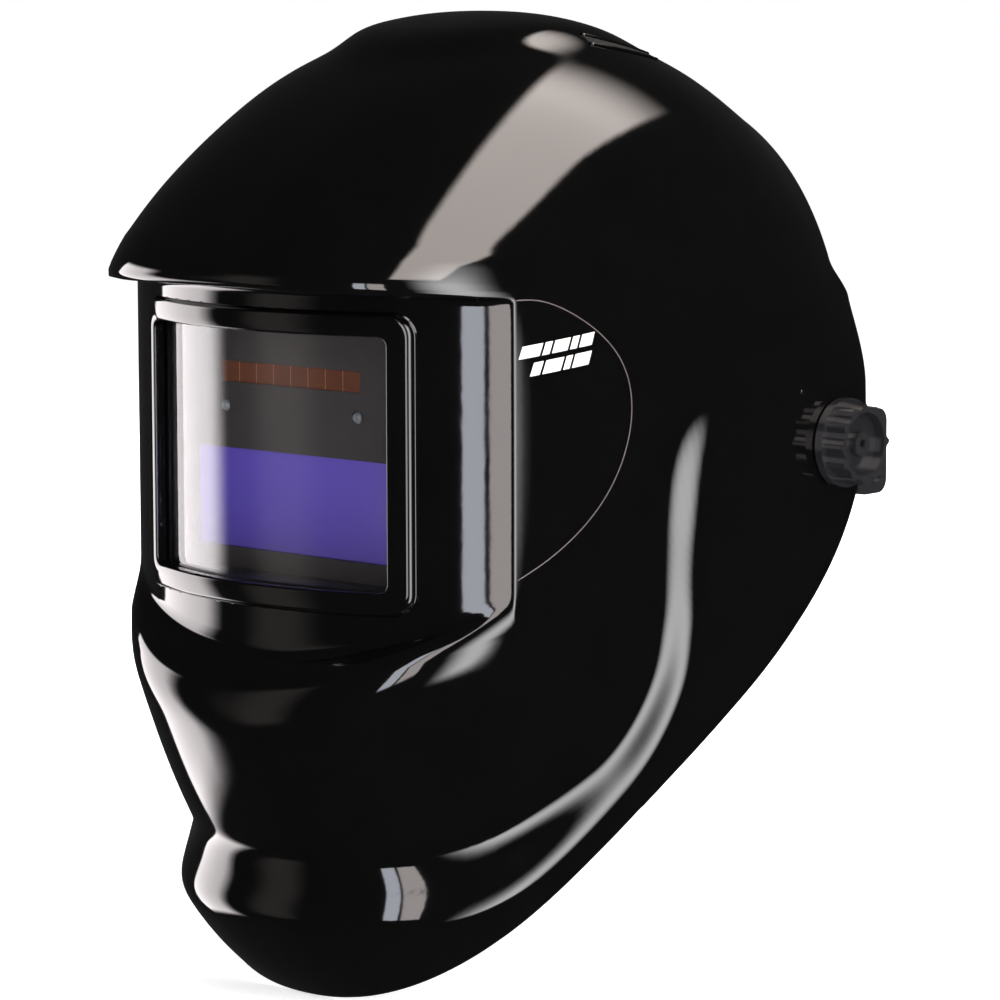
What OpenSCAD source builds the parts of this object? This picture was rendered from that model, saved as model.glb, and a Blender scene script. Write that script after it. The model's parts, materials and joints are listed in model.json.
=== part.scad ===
// Auto-darkening welding helmet: moulded shell, filter cartridge behind a curved
// cover lens, and an adjustable headgear that carries the shell on two side pivots.
// Origin: midpoint between the side pivots. +Z up, the window faces -Y,
// the wearer's left is +X. Millimetres.

/* [Shell] */
// Half width of the shell where the side pivots pass through, before the raised rear part
shell_half_w = 112; // [108:0.5:120]
// Wall thickness of the moulded shell
wall = 2.4; // [1.8:0.1:3]
// How far the rear and lower part stands proud of the face part at the sides
rear_step = 7; // [4:0.5:9]
// How much further the bib under the chin flares
bib_flare = 8.5; // [4:0.5:10]
// Forward overhang of the brow over the window band
brow_out = 2; // [0:0.5:6]
// Height of the oval pad moulded on the crown
crown_pad_h = 4.5; // [2:0.5:6]

/* [Window] */
// Width of the window opening
window_w = 110; // [92:1:116]
// Height of the window opening
window_h = 86.4; // [74:0.2:90]
// Radius of the curved front band and of the cover lens
band_r = 132; // [124:1:160]
// Width of the raised rim around the window
rim_w = 8.5; // [6:0.5:9]
// Thickness of the clear cover lens
lens_t = 1.5; // [1:0.1:2]

/* [Filter cartridge] */
// Width of the auto-darkening cartridge
filter_w = 110; // [92:1:114]
// Height of the auto-darkening cartridge
filter_h = 90; // [76:1:93]
// Thickness of the auto-darkening cartridge
filter_t = 9; // [8:0.5:10.5]
// Width of the frame left on each side of the viewing area
view_side = 9; // [7:0.5:16.5]
// Height of the viewing area
view_h = 35; // [29:1:37]

/* [Side pivots] */
// Diameter of the pivot bolts
bolt_d = 8; // [6.6:0.1:9.6]
// Diameter of the knob flange
knob_flange_d = 32; // [30:1:36]
// Diameter of the fluted part of the knob
knob_d = 29; // [24:1:30]
// Length of the fluted part of the knob
knob_h = 7.5; // [7:0.5:14]

/* [Headgear] */
// Inner width of the headband
head_w = 157; // [140:1:162]
// Inner length of the headband
head_l = 196; // [180:1:204]
// Height of the headband
band_h = 28; // [23:1:34]
// Thickness of the headband and the straps
band_t = 1.8; // [1.4:0.1:2.2]
// Diameter of the ratchet knob at the back
ratchet_d = 42; // [36:1:50]

/* [Hidden] */
gloss_black = "#0b0b0c";
satin_black = "#1a1a1c";
fit = 0.06;            // radial running clearance of turning parts
gap = 0.3;             // clearance between parts that move past each other
seat = 0.1;            // clearance between parts that rest on each other
tiny = 0.01;           // overlap of shapes that make up one part
$fn = 48;

// ---------- shell surface ----------
// The shell is swept as a fan of planes about an axis parallel to X, axis_y behind the
// pivots. Angle a is measured from the front (-Y) upwards.
axis_y = 15;
// Mid-plane outline, chin to rear rim, as [Y, Z]
outline = [[-126, -190], [-146, -176], [-163, -156], [-180, -124], [-192, -82], [-199, -45],
    [-197, 0], [-196, 35], [-193, 62], [-175, 92], [-143, 120], [-100, 141], [-50, 149],
    [-10, 142], [15, 132], [35, 122]];
// Squareness of the cross-section for each fan angle
squareness = [[-60, 2.2], [-45, 2.25], [-30, 2.4], [-15, 2.7], [0, 2.8], [20, 2.8],
    [50, 2.65], [75, 2.35], [90, 2.15], [100, 2.1]];
// Fan angle of the lower and the rear rim for each sideways angle
lower_rim = [[0, -48.4], [20, -48.4], [40, -48.8], [60, -52.5], [75, -61.5], [90, -79]];
rear_rim = [[0, 97], [30, 96], [60, 93], [90, 90]];
// Moulded step seen from the side, as [Y, Z]: rear top, down behind the cheek, to the chin
step_line = [[45, 60], [3, 54], [-39, 41], [-65, 19], [-76, 0], [-79, -30], [-77, -57],
    [-79, -80], [-90, -103], [-110, -122], [-134, -139], [-160, -143], [-215, -143]];
crease_x = 90;         // half width of the window band
crease_y = -143.8;     // where the band meets the cheek
brow_side_z = 59;      // brow edge at the creases
brow_arch = 3;         // its rise at the middle
ledge_side_z = -44;    // lower edge of the band at the creases
ledge_dip = 21;        // its dip at the middle
ledge_fold = 6;        // fan angle over which the band folds out into the jaw
band_cy = crease_y + sqrt(band_r * band_r - crease_x * crease_x);
window_z = 2.2;        // height of the window's centre

function clamp01(t) = min(1, max(0, t));
function smooth(a, b, x) = let (t = clamp01((x - a) / (b - a))) t * t * (3 - 2 * t);
function spline_point(p, q, r, s, t) =
    0.5 * (2 * q + (r - p) * t + (2 * p - 5 * q + 4 * r - s) * t * t
    + (3 * q - p - 3 * r + s) * t * t * t);
function spline(pts, n) = let (m = len(pts) - 1) concat(
    [for (i = [0 : m - 1], k = [0 : n - 1])
        spline_point(i == 0 ? 2 * pts[0] - pts[1] : pts[i - 1], pts[i], pts[i + 1],
            i == m - 1 ? 2 * pts[m] - pts[m - 1] : pts[i + 2], k / n)],
    [pts[m]]);

outline_fan = [for (p = spline(outline, 6)) [atan2(p[1], axis_y - p[0]),
    norm([p[1], axis_y - p[0]])]];
step_path = spline(step_line, 3);

function power(a) = lookup(a, squareness);
function radius_mid(a) = lookup(a, outline_fan);
function radius_at(a, x) = let (n = power(a))
    radius_mid(a) * pow(1 - pow(abs(x) / shell_half_w, n), 1 / n);
function side_angle(a, x) = asin(pow(x / shell_half_w, power(a) / 2));
function hull_point(a, s) = let (n = power(a), r = radius_mid(a) * pow(cos(s), 2 / n))
    [shell_half_w * pow(sin(s), 2 / n), axis_y - r * cos(a), r * sin(a)];
// Fan angle at which the surface passes height z at half width x
function angle_at(z, x, a = 0, k = 12) = k == 0 ? a :
    let (r = radius_at(a, x)) angle_at(z, x, atan2(z, sqrt(max(r * r - z * z, 1))), k - 1);

function dip(x) = let (q = min(abs(x), crease_x) / crease_x) 1 - q * q;
function band_front(x) = band_cy - sqrt(band_r * band_r - x * x);

// Columns of the half grid: across the band, then round the cheek to the rear rim
window_cols = 5;
crease_cols = 4;
cheek_cols = 15;
col_x = concat([for (i = [0 : window_cols]) window_w / 2 * i / window_cols],
    [for (i = [1 : crease_cols])
        window_w / 2 + (crease_x - window_w / 2) * i / crease_cols]);
last_band = len(col_x) - 1;
cheek = [for (i = [1 : cheek_cols]) i == cheek_cols ? 0.996 : i / cheek_cols];
half_cols = len(col_x) + cheek_cols;
function col_cheek(j) = j <= last_band ? 0 : cheek[j - last_band - 1];
function start_angle(j) = let (c = side_angle(0, crease_x))
    j <= last_band ? side_angle(0, col_x[j]) : c + (90 - c) * col_cheek(j);

brow_a = [for (j = [0 : half_cols - 1]) let (x = col_x[min(j, last_band)])
    angle_at(brow_side_z + brow_arch * dip(x), x)];
ledge_a = [for (j = [0 : half_cols - 1]) let (x = col_x[min(j, last_band)])
    angle_at(ledge_side_z - ledge_dip * dip(x), x)];
lower_a = [for (j = [0 : half_cols - 1]) lookup(start_angle(j), lower_rim)];
rear_a = [for (j = [0 : half_cols - 1]) lookup(start_angle(j), rear_rim)];
crease_brow = brow_a[last_band];
crease_ledge = ledge_a[last_band];
function crease_miss(a) = crease_y - axis_y + radius_at(a, crease_x) * cos(a);

// Rows from the lower rim up: [kind, place within the kind]
JAW = 0; LEDGE = 1; BAND = 2; BROW = 3; DOME = 4;
jaw_rows = 17;
ledge_rows = 3;
band_rows = 5;
dome_rows = 17;
rows = concat([for (i = [0 : jaw_rows]) [JAW, i / jaw_rows]],
    [for (i = [1 : ledge_rows]) [LEDGE, i / ledge_rows]],
    [for (i = [1 : band_rows]) [BAND, i / (band_rows + 1)]],
    [[BROW, 0], [BROW, 1]],
    [for (i = [1 : dome_rows]) [DOME, i / dome_rows]]);
brow_thick = 0.6;      // fan angle across the brow's lower lip
function fan_angle(row, j) = let (k = row[0], t = row[1])
    k == JAW ? lower_a[j] * (1 - t) + (ledge_a[j] - ledge_fold) * t :
    k == LEDGE ? ledge_a[j] - ledge_fold * (1 - t) :
    k == BAND ? ledge_a[j] * (1 - t) + (brow_a[j] - brow_thick) * t :
    k == BROW ? brow_a[j] - brow_thick * (1 - t) :
    brow_a[j] * (1 - t) + rear_a[j] * t;

function half_point(row, j) = let (
    k = row[0], t = row[1], a = fan_angle(row, j),
    ac = fan_angle(row, last_band),
    c = side_angle(a, crease_x),
    s = j <= last_band ? side_angle(a, col_x[j]) : c + (90 - c) * col_cheek(j),
    h = hull_point(a, s),
    miss = ac > crease_brow ? crease_miss(crease_brow) * (1 - smooth(0, 20, ac - crease_brow)) :
        ac < crease_ledge ? crease_miss(crease_ledge) * (1 - smooth(0, 22, crease_ledge - ac)) :
        crease_miss(ac),
    y = h[1] + miss * pow(1 - col_cheek(j), 2),
    back = j <= last_band ? band_front(min(h[0], crease_x)) - y : 0,
    out = brow_out * (1 - smooth(45, crease_x, h[0])),
    lift = out * pow(1 - clamp01((h[2] - brow_side_z - brow_arch * dip(h[0])) / 45), 2))
    k == LEDGE ? [h[0], y + back * t * t, h[2]] :
    k == BAND ? [h[0], y + back, h[2]] :
    k == BROW ? [h[0], y + back * (1 - t) - out * t, h[2]] :
    k == DOME ? [h[0] + lift * 0.5 * clamp01(h[0] / 60), y - lift, h[2]] :
    [h[0], y, h[2]];

// Signed distance from the moulded step, positive behind and below it
function segment_distance(q, a, b) = let (ab = b - a,
    v = q - a - clamp01(((q - a) * ab) / (ab * ab)) * ab)
    [norm(v), ab[0] * v[1] - ab[1] * v[0] > 0 ? 1 : -1];
function step_distance(q) = let (
    all = [for (i = [0 : len(step_path) - 2]) segment_distance(q, step_path[i], step_path[i + 1])],
    near = min([for (d = all) d[0]]))
    near * [for (d = all) if (d[0] == near) d[1]][0];
function step_height(p) = rear_step + bib_flare * smooth(-70, -150, p[1])
    - rear_step / 2 * smooth(20, 55, p[2]);
crown_c = [0, -44];
crown_size = [45, 56];
function crown_height(p) = p[2] < 60 ? 0 : crown_pad_h *
    (1 - smooth(0.92, 1.06, norm([(p[0] - crown_c[0]) / crown_size[0],
        (p[1] - crown_c[1]) / crown_size[1]])));
function relief(row, p) =
    (row[0] == BAND || row[0] == BROW) && abs(p[0]) < crease_x + 1 ? 0 :
    step_height(p) * smooth(-1, 1, step_distance([p[1], p[2]]) / 6.5) + crown_height(p);

function mirror_row(r) = concat(
    [for (j = [len(r) - 1 : -1 : 1]) [-r[j][0], r[j][1], r[j][2]]], r);
function unit(v) = v / max(norm(v), 1e-6);
function grid_normal(g, i, j) = let (m = len(g) - 1, n = len(g[0]) - 1,
    du = g[i][min(j + 1, n)] - g[i][max(j - 1, 0)],
    dv = g[min(i + 1, m)][j] - g[max(i - 1, 0)][j])
    unit(cross(du, dv));
base_grid = [for (r = rows) mirror_row([for (j = [0 : half_cols - 1]) half_point(r, j)])];
cols = 2 * half_cols - 1;
outer_grid = [for (i = [0 : len(rows) - 1]) [for (j = [0 : cols - 1])
    base_grid[i][j] + relief(rows[i], base_grid[i][j]) * grid_normal(base_grid, i, j)]];
inner_grid = [for (i = [0 : len(rows) - 1]) [for (j = [0 : cols - 1])
    outer_grid[i][j] - wall * grid_normal(outer_grid, i, j)]];

function grid_faces(m, n, first, flip) = [for (i = [0 : m - 2], j = [0 : n - 2])
    let (a = first + i * n + j, b = a + 1, c = a + n + 1, d = a + n)
    each flip ? [[a, c, b], [a, d, c]] : [[a, b, c], [a, c, d]]];
module shell_skin() {
    m = len(rows);
    n = cols;
    k = m * n;
    edge = concat([for (j = [0 : n - 1]) j], [for (i = [1 : m - 1]) i * n + n - 1],
        [for (j = [n - 2 : -1 : 0]) (m - 1) * n + j], [for (i = [m - 2 : -1 : 1]) i * n]);
    rim = [for (q = [0 : len(edge) - 1]) let (a = edge[q], b = edge[(q + 1) % len(edge)])
        each [[a, a + k, b + k], [a, b + k, b]]];
    polyhedron(
        points = concat([for (r = outer_grid) each r], [for (r = inner_grid) each r]),
        faces = concat(grid_faces(m, n, 0, true), grid_faces(m, n, k, false), rim));
}

// ---------- small helpers ----------
module x_cyl(r, x0, x1) translate([x0, 0, 0]) rotate([0, 90, 0]) cylinder(r = r, h = x1 - x0);
module y_cyl(r, y0, y1) translate([0, y0, 0]) rotate([-90, 0, 0]) cylinder(r = r, h = y1 - y0);
module x_prism(x0, x1) translate([x0, 0, 0]) rotate([90, 0, 90]) linear_extrude(x1 - x0) children();
module y_prism(y0, y1) translate([0, y1, 0]) rotate([90, 0, 0]) linear_extrude(y1 - y0) children();
module rounded(w, h, r) {
    square([w - 2 * r, h], center = true);
    square([w, h - 2 * r], center = true);
    for (x = [-1, 1], y = [-1, 1])
        translate([x * (w / 2 - r), y * (h / 2 - r)]) circle(r = r);
}
module frame2d(w, h, r, w2, h2, r2) difference() {
    rounded(w, h, r);
    rounded(w2, h2, r2);
}
module at_window() translate([0, 0, window_z]) children();
module right_side() mirror([1, 0, 0]) children();
// Solid between two cylinders about the band's axis, cut to a frame seen from the front
module band_slice(r_in, r_out) intersection() {
    at_window() y_prism(-200, -120) children();
    translate([0, band_cy, -120]) difference() {
        cylinder(r = r_out, h = 240, $fn = 96);
        translate([0, 0, -1]) cylinder(r = r_in, h = 242, $fn = 96);
    }
}

// Ribbon: a flat strip swept along a path, its width along w, its thickness across
function path_dir(p, i) = unit(p[min(i + 1, len(p) - 1)] - p[max(i - 1, 0)]);
module ribbon(path, width_dir, width, thick) {
    n = len(path);
    pts = [for (i = [0 : n - 1]) let (d = path_dir(path, i),
        w = unit(width_dir - (width_dir * d) * d), t = cross(d, w),
        u = w * width / 2, v = t * thick / 2, p = path[i])
        each [p + u + v, p - u + v, p - u - v, p + u - v]];
    sides = [for (i = [0 : n - 2], k = [0 : 3]) let (a = 4 * i + k, b = 4 * i + (k + 1) % 4)
        each [[a, b, b + 4], [a, b + 4, a + 4]]];
    ends = [[3, 2, 1], [3, 1, 0], [4 * n - 4, 4 * n - 3, 4 * n - 2],
        [4 * n - 4, 4 * n - 2, 4 * n - 1]];
    polyhedron(points = pts, faces = concat(sides, ends));
}

// ---------- window and filter stack, front to back ----------
band_in_r = band_r - wall;
lens_r = band_in_r - gap;
gasket_t = 1.1;
gasket_r = lens_r - lens_t - seat;
holder_r = gasket_r - gasket_t - seat;
rim_out_w = window_w + 2 * rim_w + 1;
rim_out_h = window_h + 2 * rim_w - 1;
rim_raise = 2;
lens_w = window_w + 11;
lens_h = window_h + 11;
holder_w = max(window_w, filter_w) + 18;
holder_h = filter_h + 14;
filter_front = -158;
filter_back = filter_front + filter_t;
inner_lens_t = 1;
holder_back = filter_back + inner_lens_t;
retainer_t = 3;
retainer_front = holder_back + gap;
ear_x = holder_w / 2 + 8;
ear_z = 30;
boss_y = -150;
screw_r = 1.5;

module shell() color(gloss_black) resize([0, 0, 0]) difference() {
    union() {
        shell_skin();
        // raised rim round the window
        band_slice(band_in_r + 0.6, band_r + rim_raise)
            frame2d(rim_out_w, rim_out_h, 6, window_w, window_h, 3);
        // four bosses for the holder's screws
        for (x = [-1, 1], z = [-1, 1]) translate([x * ear_x, 0, window_z + z * ear_z])
            intersection() {
                y_cyl(4.5, band_front(ear_x) + 0.8, boss_y);
                translate([-x * ear_x, band_cy, -20]) cylinder(r = band_r - 0.8, h = 40, $fn = 96);
            }
    }
    at_window() y_prism(-210, -150) rounded(window_w, window_h, 3);
    for (x = [-1, 1], z = [-1, 1]) translate([x * ear_x, 0, window_z + z * ear_z])
        y_cyl(screw_r + seat, boss_y - 5, boss_y + 1);
    x_cyl(bush_r + seat, -shell_half_w - 20, shell_half_w + 20);
}
module cover_lens() color([0.85, 0.9, 0.95, 0.3]) band_slice(lens_r - lens_t, lens_r)
    rounded(lens_w, lens_h, 4);
module lens_gasket() color("#222222") band_slice(gasket_r - gasket_t, gasket_r)
    frame2d(lens_w, lens_h, 4, window_w + 2, window_h + 2, 3);
module filter_holder() color(satin_black) difference() {
    intersection() {
        at_window() union() {
            y_prism(-190, holder_back) rounded(holder_w, holder_h, 4);
            for (x = [-1, 1], z = [-1, 1]) y_prism(boss_y + seat, holder_back)
                translate([x * (ear_x + holder_w / 2 - 4) / 2, z * ear_z])
                    rounded(ear_x - holder_w / 2 + 13, 10, 4);
            // hinge ears under the retainer
            for (x = [-1, 1]) y_prism(holder_back - tiny, hinge_y + 2.6)
                translate([x * hinge_x, hinge_dz]) rounded(hinge_w - 2 * gap, 5, 1);
        }
        translate([0, band_cy, -120]) cylinder(r = holder_r, h = 240, $fn = 96);
    }
    at_window() y_prism(-200, filter_front) rounded(window_w - 2, window_h, 3);
    at_window() y_prism(filter_front - tiny, holder_back + 1)
        square([filter_w + 2 * gap, filter_h + 2 * gap], center = true);
    for (x = [-1, 1], z = [-1, 1]) translate([x * ear_x, 0, window_z + z * ear_z])
        y_cyl(screw_r + seat, boss_y - 1, holder_back + 1);
    at_window() translate([0, hinge_y, hinge_dz])
        x_cyl(pin_r + fit, -holder_w / 2, holder_w / 2);
}
module holder_screws() color("silver") for (x = [-1, 1], z = [-1, 1])
    translate([x * ear_x, 0, window_z + z * ear_z]) {
        y_cyl(screw_r, boss_y - 4.5, holder_back + seat + 0.5);
        y_cyl(3, holder_back + seat, holder_back + seat + 2);
    }

// Retainer: swings inwards on two pins along its lower edge
hinge_x = 44;
hinge_w = 8;
pin_r = 1.1;
knuckle_r = 2.2;
hinge_y = holder_back + knuckle_r + gap;
hinge_dz = -(filter_h / 2 + 4.4);
retainer_w = filter_w + 14;
module filter_retainer() color(satin_black) at_window() difference() {
    union() {
        y_prism(retainer_front, retainer_front + retainer_t) difference() {
            translate([0, 1]) rounded(retainer_w, filter_h + 7, 3);
            rounded(filter_w - 14, filter_h - 16, 4);
        }
        // knuckles either side of each holder ear
        for (x = [-hinge_x, hinge_x], e = [-1, 1])
            translate([x + e * hinge_w, hinge_y, hinge_dz])
                x_cyl(knuckle_r, -hinge_w / 2 + gap, hinge_w / 2 - gap);
        for (x = [-hinge_x, hinge_x], e = [-1, 1])
            y_prism(hinge_y - 1, hinge_y + 1) translate([x + e * hinge_w, hinge_dz + 1])
                square([hinge_w - 2 * gap, 2.4], center = true);
        // pull tab
        y_prism(retainer_front, retainer_front + retainer_t + 4)
            translate([0, filter_h / 2 + 3]) rounded(24, 3, 1);
    }
    for (x = [-hinge_x, hinge_x]) y_prism(retainer_front - 1, retainer_front + retainer_t + 1)
        translate([x, hinge_dz + 0.5]) square([hinge_w, 7], center = true);
    translate([0, hinge_y, hinge_dz]) x_cyl(pin_r, -retainer_w, retainer_w);
}
module retainer_pins() color("silver") at_window() for (x = [-hinge_x, hinge_x])
    translate([x, hinge_y, hinge_dz]) x_cyl(pin_r, -hinge_w * 1.4, hinge_w * 1.4);

// ---------- cartridge: everything is centred on the window ----------
case_wall = 1.4;
view_w = filter_w - 2 * view_side;
split_y = filter_front + filter_t / 2;
view_z = -(filter_h / 2 - 9 - view_h / 2);
panel_inset = 22;
panel_w = filter_w - 2 * panel_inset;
panel_h = 7.4;
panel_z = 25.8;
sensor_x = 31.5;
sensor_z = 13.7;
sensor_r = 2.2;
glass_w = view_w + 5;
glass_h = view_h + 4;
glass_front = filter_front + case_wall + seat;
board_z = (view_z + glass_h / 2 + filter_h / 2 - case_wall) / 2;
board_h = filter_h / 2 - case_wall - (view_z + glass_h / 2) - 2;
board_front = glass_front + 2.4;
board_t = 1.2;
dial_inset = 27;
dial_x = filter_w / 2 - dial_inset;
dial_z = 18;
dial_r = 7.5;
shaft_r = 2.5;
dial_front = filter_back + 0.2;
slot_w = 12;

module cartridge_shell(y0, y1, inner0, inner1) difference() {
    y_prism(y0, y1) rounded(filter_w, filter_h, 2.5);
    y_prism(inner0, inner1) rounded(filter_w - 2 * case_wall, filter_h - 2 * case_wall, 1.2);
    y_prism(filter_front - 1, filter_back + 1) translate([0, view_z]) square([view_w, view_h],
        center = true);
}
module cartridge_front() color(satin_black) at_window() difference() {
    cartridge_shell(filter_front, split_y, filter_front + case_wall, split_y + 1);
    y_prism(filter_front - 1, split_y) translate([0, panel_z])
        square([panel_w, panel_h], center = true);
    for (x = [-sensor_x, sensor_x]) translate([x, 0, sensor_z])
        y_cyl(sensor_r + seat, filter_front - 1, split_y);
}
module cartridge_back() color(satin_black) at_window() difference() {
    cartridge_shell(split_y + tiny, filter_back, split_y - 1, filter_back - case_wall);
    for (x = [-dial_x, dial_x]) translate([x, 0, dial_z])
        y_cyl(shaft_r + fit, split_y, filter_back + 1);
    y_prism(split_y, filter_back + 1) translate([0, dial_z]) rounded(slot_w, 3, 0.5);
}
module interference_filter() color("#4a3a9c") at_window()
    y_prism(glass_front, glass_front + 1.5) translate([0, view_z])
        square([glass_w, glass_h], center = true);
module liquid_crystal_cell() color("#3a4238") at_window()
    y_prism(glass_front + 1.6, glass_front + 3.8) translate([0, view_z])
        square([glass_w, glass_h], center = true);
module rear_polariser() color("#5c6b58") at_window()
    y_prism(glass_front + 3.9, filter_back - case_wall - seat) translate([0, view_z])
        square([glass_w, glass_h], center = true);
module solar_panel() color("#5a3a26") at_window()
    y_prism(glass_front, glass_front + 1) translate([0, panel_z])
        square([panel_w + 3, panel_h + 2], center = true);
module arc_sensors() color("#2c3034") at_window() for (x = [-sensor_x, sensor_x])
    translate([x, 0, sensor_z]) {
        y_cyl(sensor_r, filter_front + 1, board_front - seat);
        intersection() {
            translate([0, filter_front + 1, 0]) sphere(r = sensor_r);
            y_cyl(sensor_r, filter_front - 1, filter_front + 1);
        }
    }
module circuit_board() color("#1f5a34") at_window()
    y_prism(board_front, board_front + board_t) translate([0, board_z])
        square([filter_w - 2 * case_wall - 2, board_h], center = true);
coin_r = 10;
coin_inset = 13.5;
module coin_cells() color("silver") at_window() for (x = [-1, 1])
    translate([x * (filter_w / 2 - coin_inset), 0, board_z + 4])
        y_cyl(coin_r, board_front + board_t + seat, board_front + board_t + 1.7);
module potentiometers() color("#3b6ea8") at_window() for (x = [-dial_x, dial_x])
    translate([x, 0, dial_z]) difference() {
        y_cyl(4.6, board_front + board_t + seat, filter_back - case_wall - seat);
        y_cyl(shaft_r + fit, filter_back - case_wall - 1, filter_back);
    }
module dial(x) at_window() translate([x, 0, dial_z]) difference() {
    union() {
        y_cyl(shaft_r, filter_back - case_wall - 0.8, dial_front + tiny);
        y_prism(dial_front, dial_front + 4.6) difference() {
            circle(r = dial_r);
            for (a = [0 : 30 : 330]) rotate(a) translate([dial_r + 0.7, 0]) circle(r = 1.3);
        }
    }
    y_prism(dial_front + 3.8, dial_front + 6) translate([0, dial_r / 2])
        square([1.2, dial_r - 2], center = true);
}
module shade_dial() color("#2a2a2c") dial(dial_x);
module sensitivity_dial() color("#2a2a2c") dial(-dial_x);
slider_travel = 3;
module delay_slider() color("#b8b8b8") at_window() translate([0, 0, dial_z]) {
    y_prism(filter_back - case_wall - 0.6, filter_back + 2.6)
        square([slot_w - 2 * slider_travel - 2 * gap, 3 - 2 * gap], center = true);
}
module inner_cover_lens() color([0.85, 0.9, 0.95, 0.3]) at_window()
    y_prism(filter_back + tiny, filter_back + inner_lens_t - tiny)
        translate([0, (view_z - view_h / 2 - 4 + view_z + view_h / 2 + 2.5) / 2])
            square([filter_w - 4, view_h + 6.5], center = true);

// ---------- side pivots, from the arm outwards on the wearer's left ----------
face_x = shell_half_w + rear_step;      // outer face of the shell at the pivot
inner_x = face_x - wall;
bolt_r = bolt_d / 2;
bush_r = bolt_r + 3.5;
bush_flange_t = 1.7;
washer_t = 1.4;
lever_t = 3;
bush_x = inner_x - gap - bush_flange_t;
washer_x = bush_x - gap - washer_t;
lever_x = washer_x - gap - lever_t;
arm_t = 3;
arm_x = lever_x - gap - arm_t;
bolt_head_t = 2.8;
bolt_head_x = arm_x - gap - bolt_head_t;
shank_w = bolt_d + 0.6;
knob_x = face_x + 0.4;
knob_flange_t = 3;
cup_depth = 4;
insert_h = 2;
knob_end = knob_x + knob_flange_t + knob_h;
outer_washer_t = 1;
outer_washer_r = bolt_r + 6;
insert_r = bolt_r + 2.6;
bolt_end = knob_end - 5;
slide_travel = 9;

module pivot_bolt_left() color("#3a3c40") {
    x_prism(bolt_head_x, bolt_head_x + bolt_head_t) rounded(16, 16, 2);
    x_prism(bolt_head_x + 1, lever_x - gap / 2) square(shank_w, center = true);
    x_cyl(bolt_r, lever_x - gap, bolt_end - 1);
    translate([bolt_end - 1, 0, 0]) rotate([0, 90, 0]) cylinder(r1 = bolt_r, r2 = bolt_r - 1, h = 1);
}
module pivot_bolt_right() right_side() pivot_bolt_left();
module friction_washer_left() color("#7a4630") difference() {
    x_cyl(bolt_r + 6.5, washer_x, washer_x + washer_t);
    x_cyl(bolt_r + fit, washer_x - 1, washer_x + washer_t + 1);
}
module friction_washer_right() right_side() friction_washer_left();
module pivot_bush_left() color("#2b2b2d") difference() {
    union() {
        x_cyl(bush_r + 4.5, bush_x, bush_x + bush_flange_t);
        x_cyl(bush_r, bush_x + tiny, face_x);
    }
    x_cyl(bolt_r + fit, bush_x - 1, face_x + 1);
}
module pivot_bush_right() right_side() pivot_bush_left();
module outer_washer_left() color("#1c1c1c") difference() {
    x_cyl(outer_washer_r, knob_x, knob_x + outer_washer_t);
    x_cyl(bolt_r + fit, knob_x - 1, knob_x + outer_washer_t + 1);
}
module outer_washer_right() right_side() outer_washer_left();
flutes = 12;
module knob_left() color("#141415") difference() {
    union() {
        x_cyl(knob_flange_d / 2, knob_x, knob_x + knob_flange_t);
        x_prism(knob_x + knob_flange_t - tiny, knob_end) difference() {
            circle(r = knob_d / 2);
            for (i = [0 : flutes - 1]) rotate(360 / flutes * (i + 0.5))
                translate([knob_d / 2 + 2.4, 0]) circle(r = 4.2);
        }
    }
    // cup in the front face with a boss left standing at its centre
    difference() {
        x_cyl(knob_d / 2 - 3.1, knob_end - cup_depth, knob_end + 1);
        x_cyl(4.4, knob_end - cup_depth - 1, knob_end - 1.2);
    }
    x_cyl(1.6, bolt_end - 1, knob_end + 1);
    x_cyl(bolt_r + gap, bolt_end - 6, bolt_end + 0.6);
    x_cyl(insert_r, knob_x - 1, knob_x + knob_flange_t + insert_h);
    x_cyl(outer_washer_r + gap, knob_x - 1, knob_x + outer_washer_t + gap);
}
module knob_right() right_side() knob_left();
module knob_insert_left() color("#b08d4a") difference() {
    x_cyl(insert_r, knob_x + outer_washer_t + gap, knob_x + knob_flange_t + insert_h);
    x_cyl(bolt_r + fit, knob_x, knob_x + knob_flange_t + 5);
}
module knob_insert_right() right_side() knob_insert_left();

// Lever that limits how far the shell tips down; its thumb tab shows behind the shell
tab_y = 37;
tab_top = 9;
tab_bottom = -22;
tab_thick = lever_t;
module tilt_lever_left() color("#202123") difference() {
    union() {
        x_cyl(bolt_r + 9, lever_x, lever_x + lever_t);
        x_prism(lever_x, lever_x + lever_t) polygon([[0, bolt_r + 7], [tab_y - 14, tab_top],
            [tab_y - 8, tab_bottom], [0, -bolt_r - 9]]);
        x_prism(lever_x, lever_x + tab_thick) difference() {
            translate([tab_y - 9, (tab_top + tab_bottom) / 2])
                rounded(18, tab_top - tab_bottom, 5);
            translate([tab_y - 9, (tab_top + tab_bottom) / 2])
                rounded(11, tab_top - tab_bottom - 7, 3);
        }
        x_prism(lever_x, lever_x + 1.8) translate([tab_y - 9, (tab_top + tab_bottom) / 2])
            rounded(12, tab_top - tab_bottom - 6, 3);
    }
    x_cyl(bolt_r + fit, lever_x - 1, lever_x + lever_t + 1);
}
module tilt_lever_right() right_side() tilt_lever_left();

// ---------- headgear ----------
band_z = 44;
band_rise = 8;         // the headband sits higher at the forehead
arm_top = 33;
slot_h = shank_w + 0.4;
slot_l = shank_w + 2 * slide_travel + 0.8;
arm_w = slot_l + 12;
rivet_r = 2;
arm_in_x = head_w / 2 + band_t + seat;
function band_point(t, off = 0) = [(head_w / 2 + band_t / 2 + off) * sin(t),
    -(head_l / 2 + band_t / 2 + off) * cos(t), band_z + band_rise * cos(t) * cos(t)];

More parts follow.
